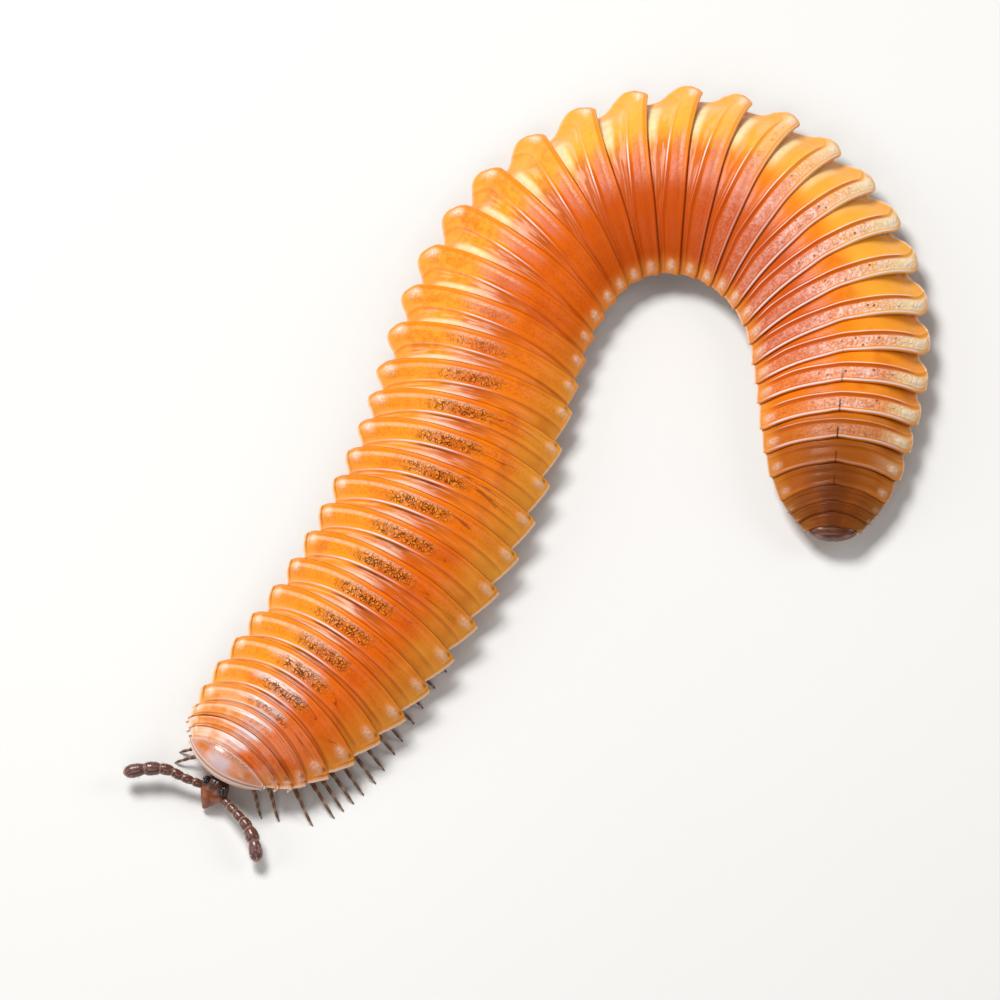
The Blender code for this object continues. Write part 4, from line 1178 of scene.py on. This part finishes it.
def makeFeeler(name, side, material):
    way = np.array(feelers["socketWay"]) * (1, side, 1)
    socket = headPoint(way / np.linalg.norm(way), -feelers["socketDepth"])
    steps = np.linspace(0, 1, feelers["steps"])
    steps[-1] = feelers["tipEnd"]
    middle = np.array(headMatrix() @ Vector(socket)) + followRoute(np.array(feelers["routes"][name]), steps)
    ahead = np.gradient(middle, axis=0)
    ahead /= np.linalg.norm(ahead, axis=1, keepdims=True)
    level = -squareTo((0, 0, 1.0), ahead)
    upward = np.cross(level, ahead)
    lengths = [length for length, radius in feelers["articles"]]
    total = sum(lengths)
    radius = feelerRadius(steps, total)
    turns = np.linspace(0, 2 * math.pi, feelers["sides"], endpoint=False)
    circle = level[:, None] * np.cos(turns)[None, :, None] + upward[:, None] * np.sin(turns)[None, :, None]
    points = middle[:, None] + circle * radius[:, None, None]
    piece = addGrid("feeler" + name, np.concatenate((points, points[:, :1]), axis=1))
    joints = [bell(steps, joint, feelers["jointWidth"]) for joint in np.cumsum(lengths)[:-1] / total]
    around = feelers["sides"] + 1
    addAttributes(piece, along=np.repeat(steps, around), joint=np.repeat(np.max(joints, axis=0), around),
                  hair=np.zeros(len(steps) * around))
    turnOutwards(piece, close=True)
    pieces = [piece]
    for count in range(feelers["hairs"]):
        index = int(stray.uniform(*feelers["hairPlaces"]) * (len(steps) - 1))
        turn = stray.uniform(0, 2 * math.pi)
        outwards = Vector(level[index] * math.cos(turn) + upward[index] * math.sin(turn))
        root = Vector(middle[index]) + outwards * (radius[index] * feelers["hairRoot"])
        lean = (outwards + Vector(ahead[index]) * stray.uniform(*feelers["hairLean"])).normalized()
        pieces.append(addHair(root, lean, stray.uniform(*feelers["hairLength"])))
    finishPiece(joinPieces(pieces, "feeler" + name), material, ["antenna_" + name.lower()], 80)


def addHair(root, way, length):
    deselectAll()
    bpy.ops.mesh.primitive_cone_add(vertices=4, radius1=feelers["hairWidth"], radius2=0.0, depth=length)
    hair = bpy.context.object
    turn = way.to_track_quat("Z", "Y").to_matrix().to_4x4()
    hair.data.transform(Matrix.Translation(root + way * length / 2) @ turn)
    addAttributes(hair, hair=np.ones(len(hair.data.vertices)))
    return hair


def makeFeelers():
    material = makeSurface("feelerHorn", feelers)
    makeFeeler("Left", 1, material)
    makeFeeler("Right", -1, material)


# Telson: the blunt end with its two valves and a pale boss on each side
telson = {
    "half": (0.125, 0.325, 0.15),
    "height": 0.335,
    "pitch": 14,
    "blunt": 0.8,
    "narrow": (0.42, 1.5),
    "bossShape": (0.2, 0.01),
    "bossWay": (0.45, 0.62, 0.64),
    "faces": (48, 32),
    # the slit between the valves: width, how steeply it begins and where, depth
    "valveShape": (0.06, 2, 0.6, 0.01),
    "shader": horn(0.34, 0.3, 0.12, 0.1, (1, 0.35, 0.1), 0.06),
    "cuticle": (50, 7),
    "ground": "amber",
    "brown": (0.075, 0.014, 0.002),
    "amber": (0.16, 0.036, 0.003),
    "pale": (0.46, 0.22, 0.13),
    "layers": (("brown", 1, ("patches", 0.35, 0.65)), ("brown", 0.8, "valve"), ("pale", 0.7, "boss")),
    "bump": (0.4, 0.004),
}


def makeTelson():
    piece = addBall("telsonEnd", telson["faces"])
    way = readPoints(piece)
    width, steep, less, depth = telson["valveShape"]
    valve = bell(way[:, 1], 0, width) * np.clip(way[:, 0] * steep - less, 0, 1)
    bossWay = np.array(telson["bossWay"])
    bossSize, bossHeight = telson["bossShape"]
    oneSide = np.stack((way[:, 0], np.abs(way[:, 1]), way[:, 2]), axis=-1)
    boss = bell(np.linalg.norm(oneSide - bossWay / np.linalg.norm(bossWay), axis=1), 0, bossSize)
    points = np.sign(way) * np.abs(way) ** telson["blunt"] * np.array(telson["half"])
    points += way * bossHeight * boss[:, None]
    narrow, power = telson["narrow"]
    points[:, 1] *= 1 - narrow * np.clip(way[:, 0], 0, 1) ** power
    points[:, 0] -= depth * valve
    placePoints(piece, points)
    addAttributes(piece, valve=valve, boss=boss)
    place = float(rimPlace(body["lastRing"], 0))
    heading = Matrix.Rotation(float(np.interp(place, courseS, courseTurn)), 4, "Z")
    turn = heading @ Matrix.Rotation(math.radians(telson["pitch"]), 4, "Y")
    piece.data.transform(Matrix.Translation(Vector(coursePoint(place, 0, telson["height"]))) @ turn)
    finishPiece(piece, makeSurface("telsonHorn", telson), ["telson"], 80)


# Floor, lights and camera
studio = {
    "floorSize": 0.6,
    "shader": {"Roughness": 0.85},
    "floor": (0.8, 0.79, 0.77, 1),
    "floorSpeckle": (0.84, 0.83, 0.81, 1),
    "speckleNoise": {"Scale": 60, "Detail": 2},
    "target": (-0.372, -0.462, 0.4),
    "across": 13.514,
    "lens": 1500,
    "sensor": 36,
    "elevation": 65,
    "clip": (0.1, 4),
    "world": ((1, 1, 1, 1), 0.14),
    # name, azimuth (0 is towards +Y), elevation, distance, size, power
    "lamps": (("key", -38, 60, 90, 34, 0.074), ("fill", 190, 45, 110, 60, 0.022),
              ("side", -95, 30, 100, 45, 0.016), ("right", 80, 34, 100, 50, 0.018)),
}


def addHolder(name, data, place, turn):
    holder = bpy.data.objects.new(name, data)
    holder.location = place
    holder.rotation_euler = turn
    bpy.context.scene.collection.objects.link(holder)
    return holder


def makeStudio():
    deselectAll()
    bpy.ops.mesh.primitive_plane_add(size=studio["floorSize"])
    floor = bpy.context.object
    floor.name = "floor"
    floor.data.materials.append(startMaterial("paleFloor", studio))
    noise = addNode("ShaderNodeTexNoise", None, studio["speckleNoise"]).outputs[0]
    linkShader("Base Color", mixColours(noise, studio["floor"], studio["floorSpeckle"]))
    target = Vector(studio["target"]) * mm
    for name, azimuth, elevation, distance, size, power in studio["lamps"]:
        lamp = bpy.data.lights.new(name, "AREA")
        lamp.energy = power
        lamp.size = size * mm
        turn, rise = math.radians(azimuth), math.radians(elevation)
        way = Vector((math.sin(turn) * math.cos(rise), math.cos(turn) * math.cos(rise), math.sin(rise)))
        addHolder(name, lamp, target + way * distance * mm, (-way).to_track_quat("-Z", "Y").to_euler())
    world = bpy.data.worlds.new("studio")
    world.use_nodes = True
    for socket, value in enumerate(studio["world"]):
        world.node_tree.nodes["Background"].inputs[socket].default_value = value
    bpy.context.scene.world = world
    bpy.context.scene.view_settings.view_transform = "Standard"
    camera = bpy.data.cameras.new("camera")
    camera.lens = studio["lens"]
    camera.sensor_width = studio["sensor"]
    camera.clip_start, camera.clip_end = studio["clip"]
    rise = math.radians(studio["elevation"])
    distance = studio["across"] * studio["lens"] / studio["sensor"] * mm
    place = target + Vector((0, -math.cos(rise), math.sin(rise))) * distance
    bpy.context.scene.camera = addHolder("camera", camera, place, (math.pi / 2 - rise, 0, 0))
    print("studio made")


makeStudio()
makePlates()
makeCollum()
makeSkin()
makeLegs()
makeHead()
makeEyes()
makeFeelers()
makeTelson()
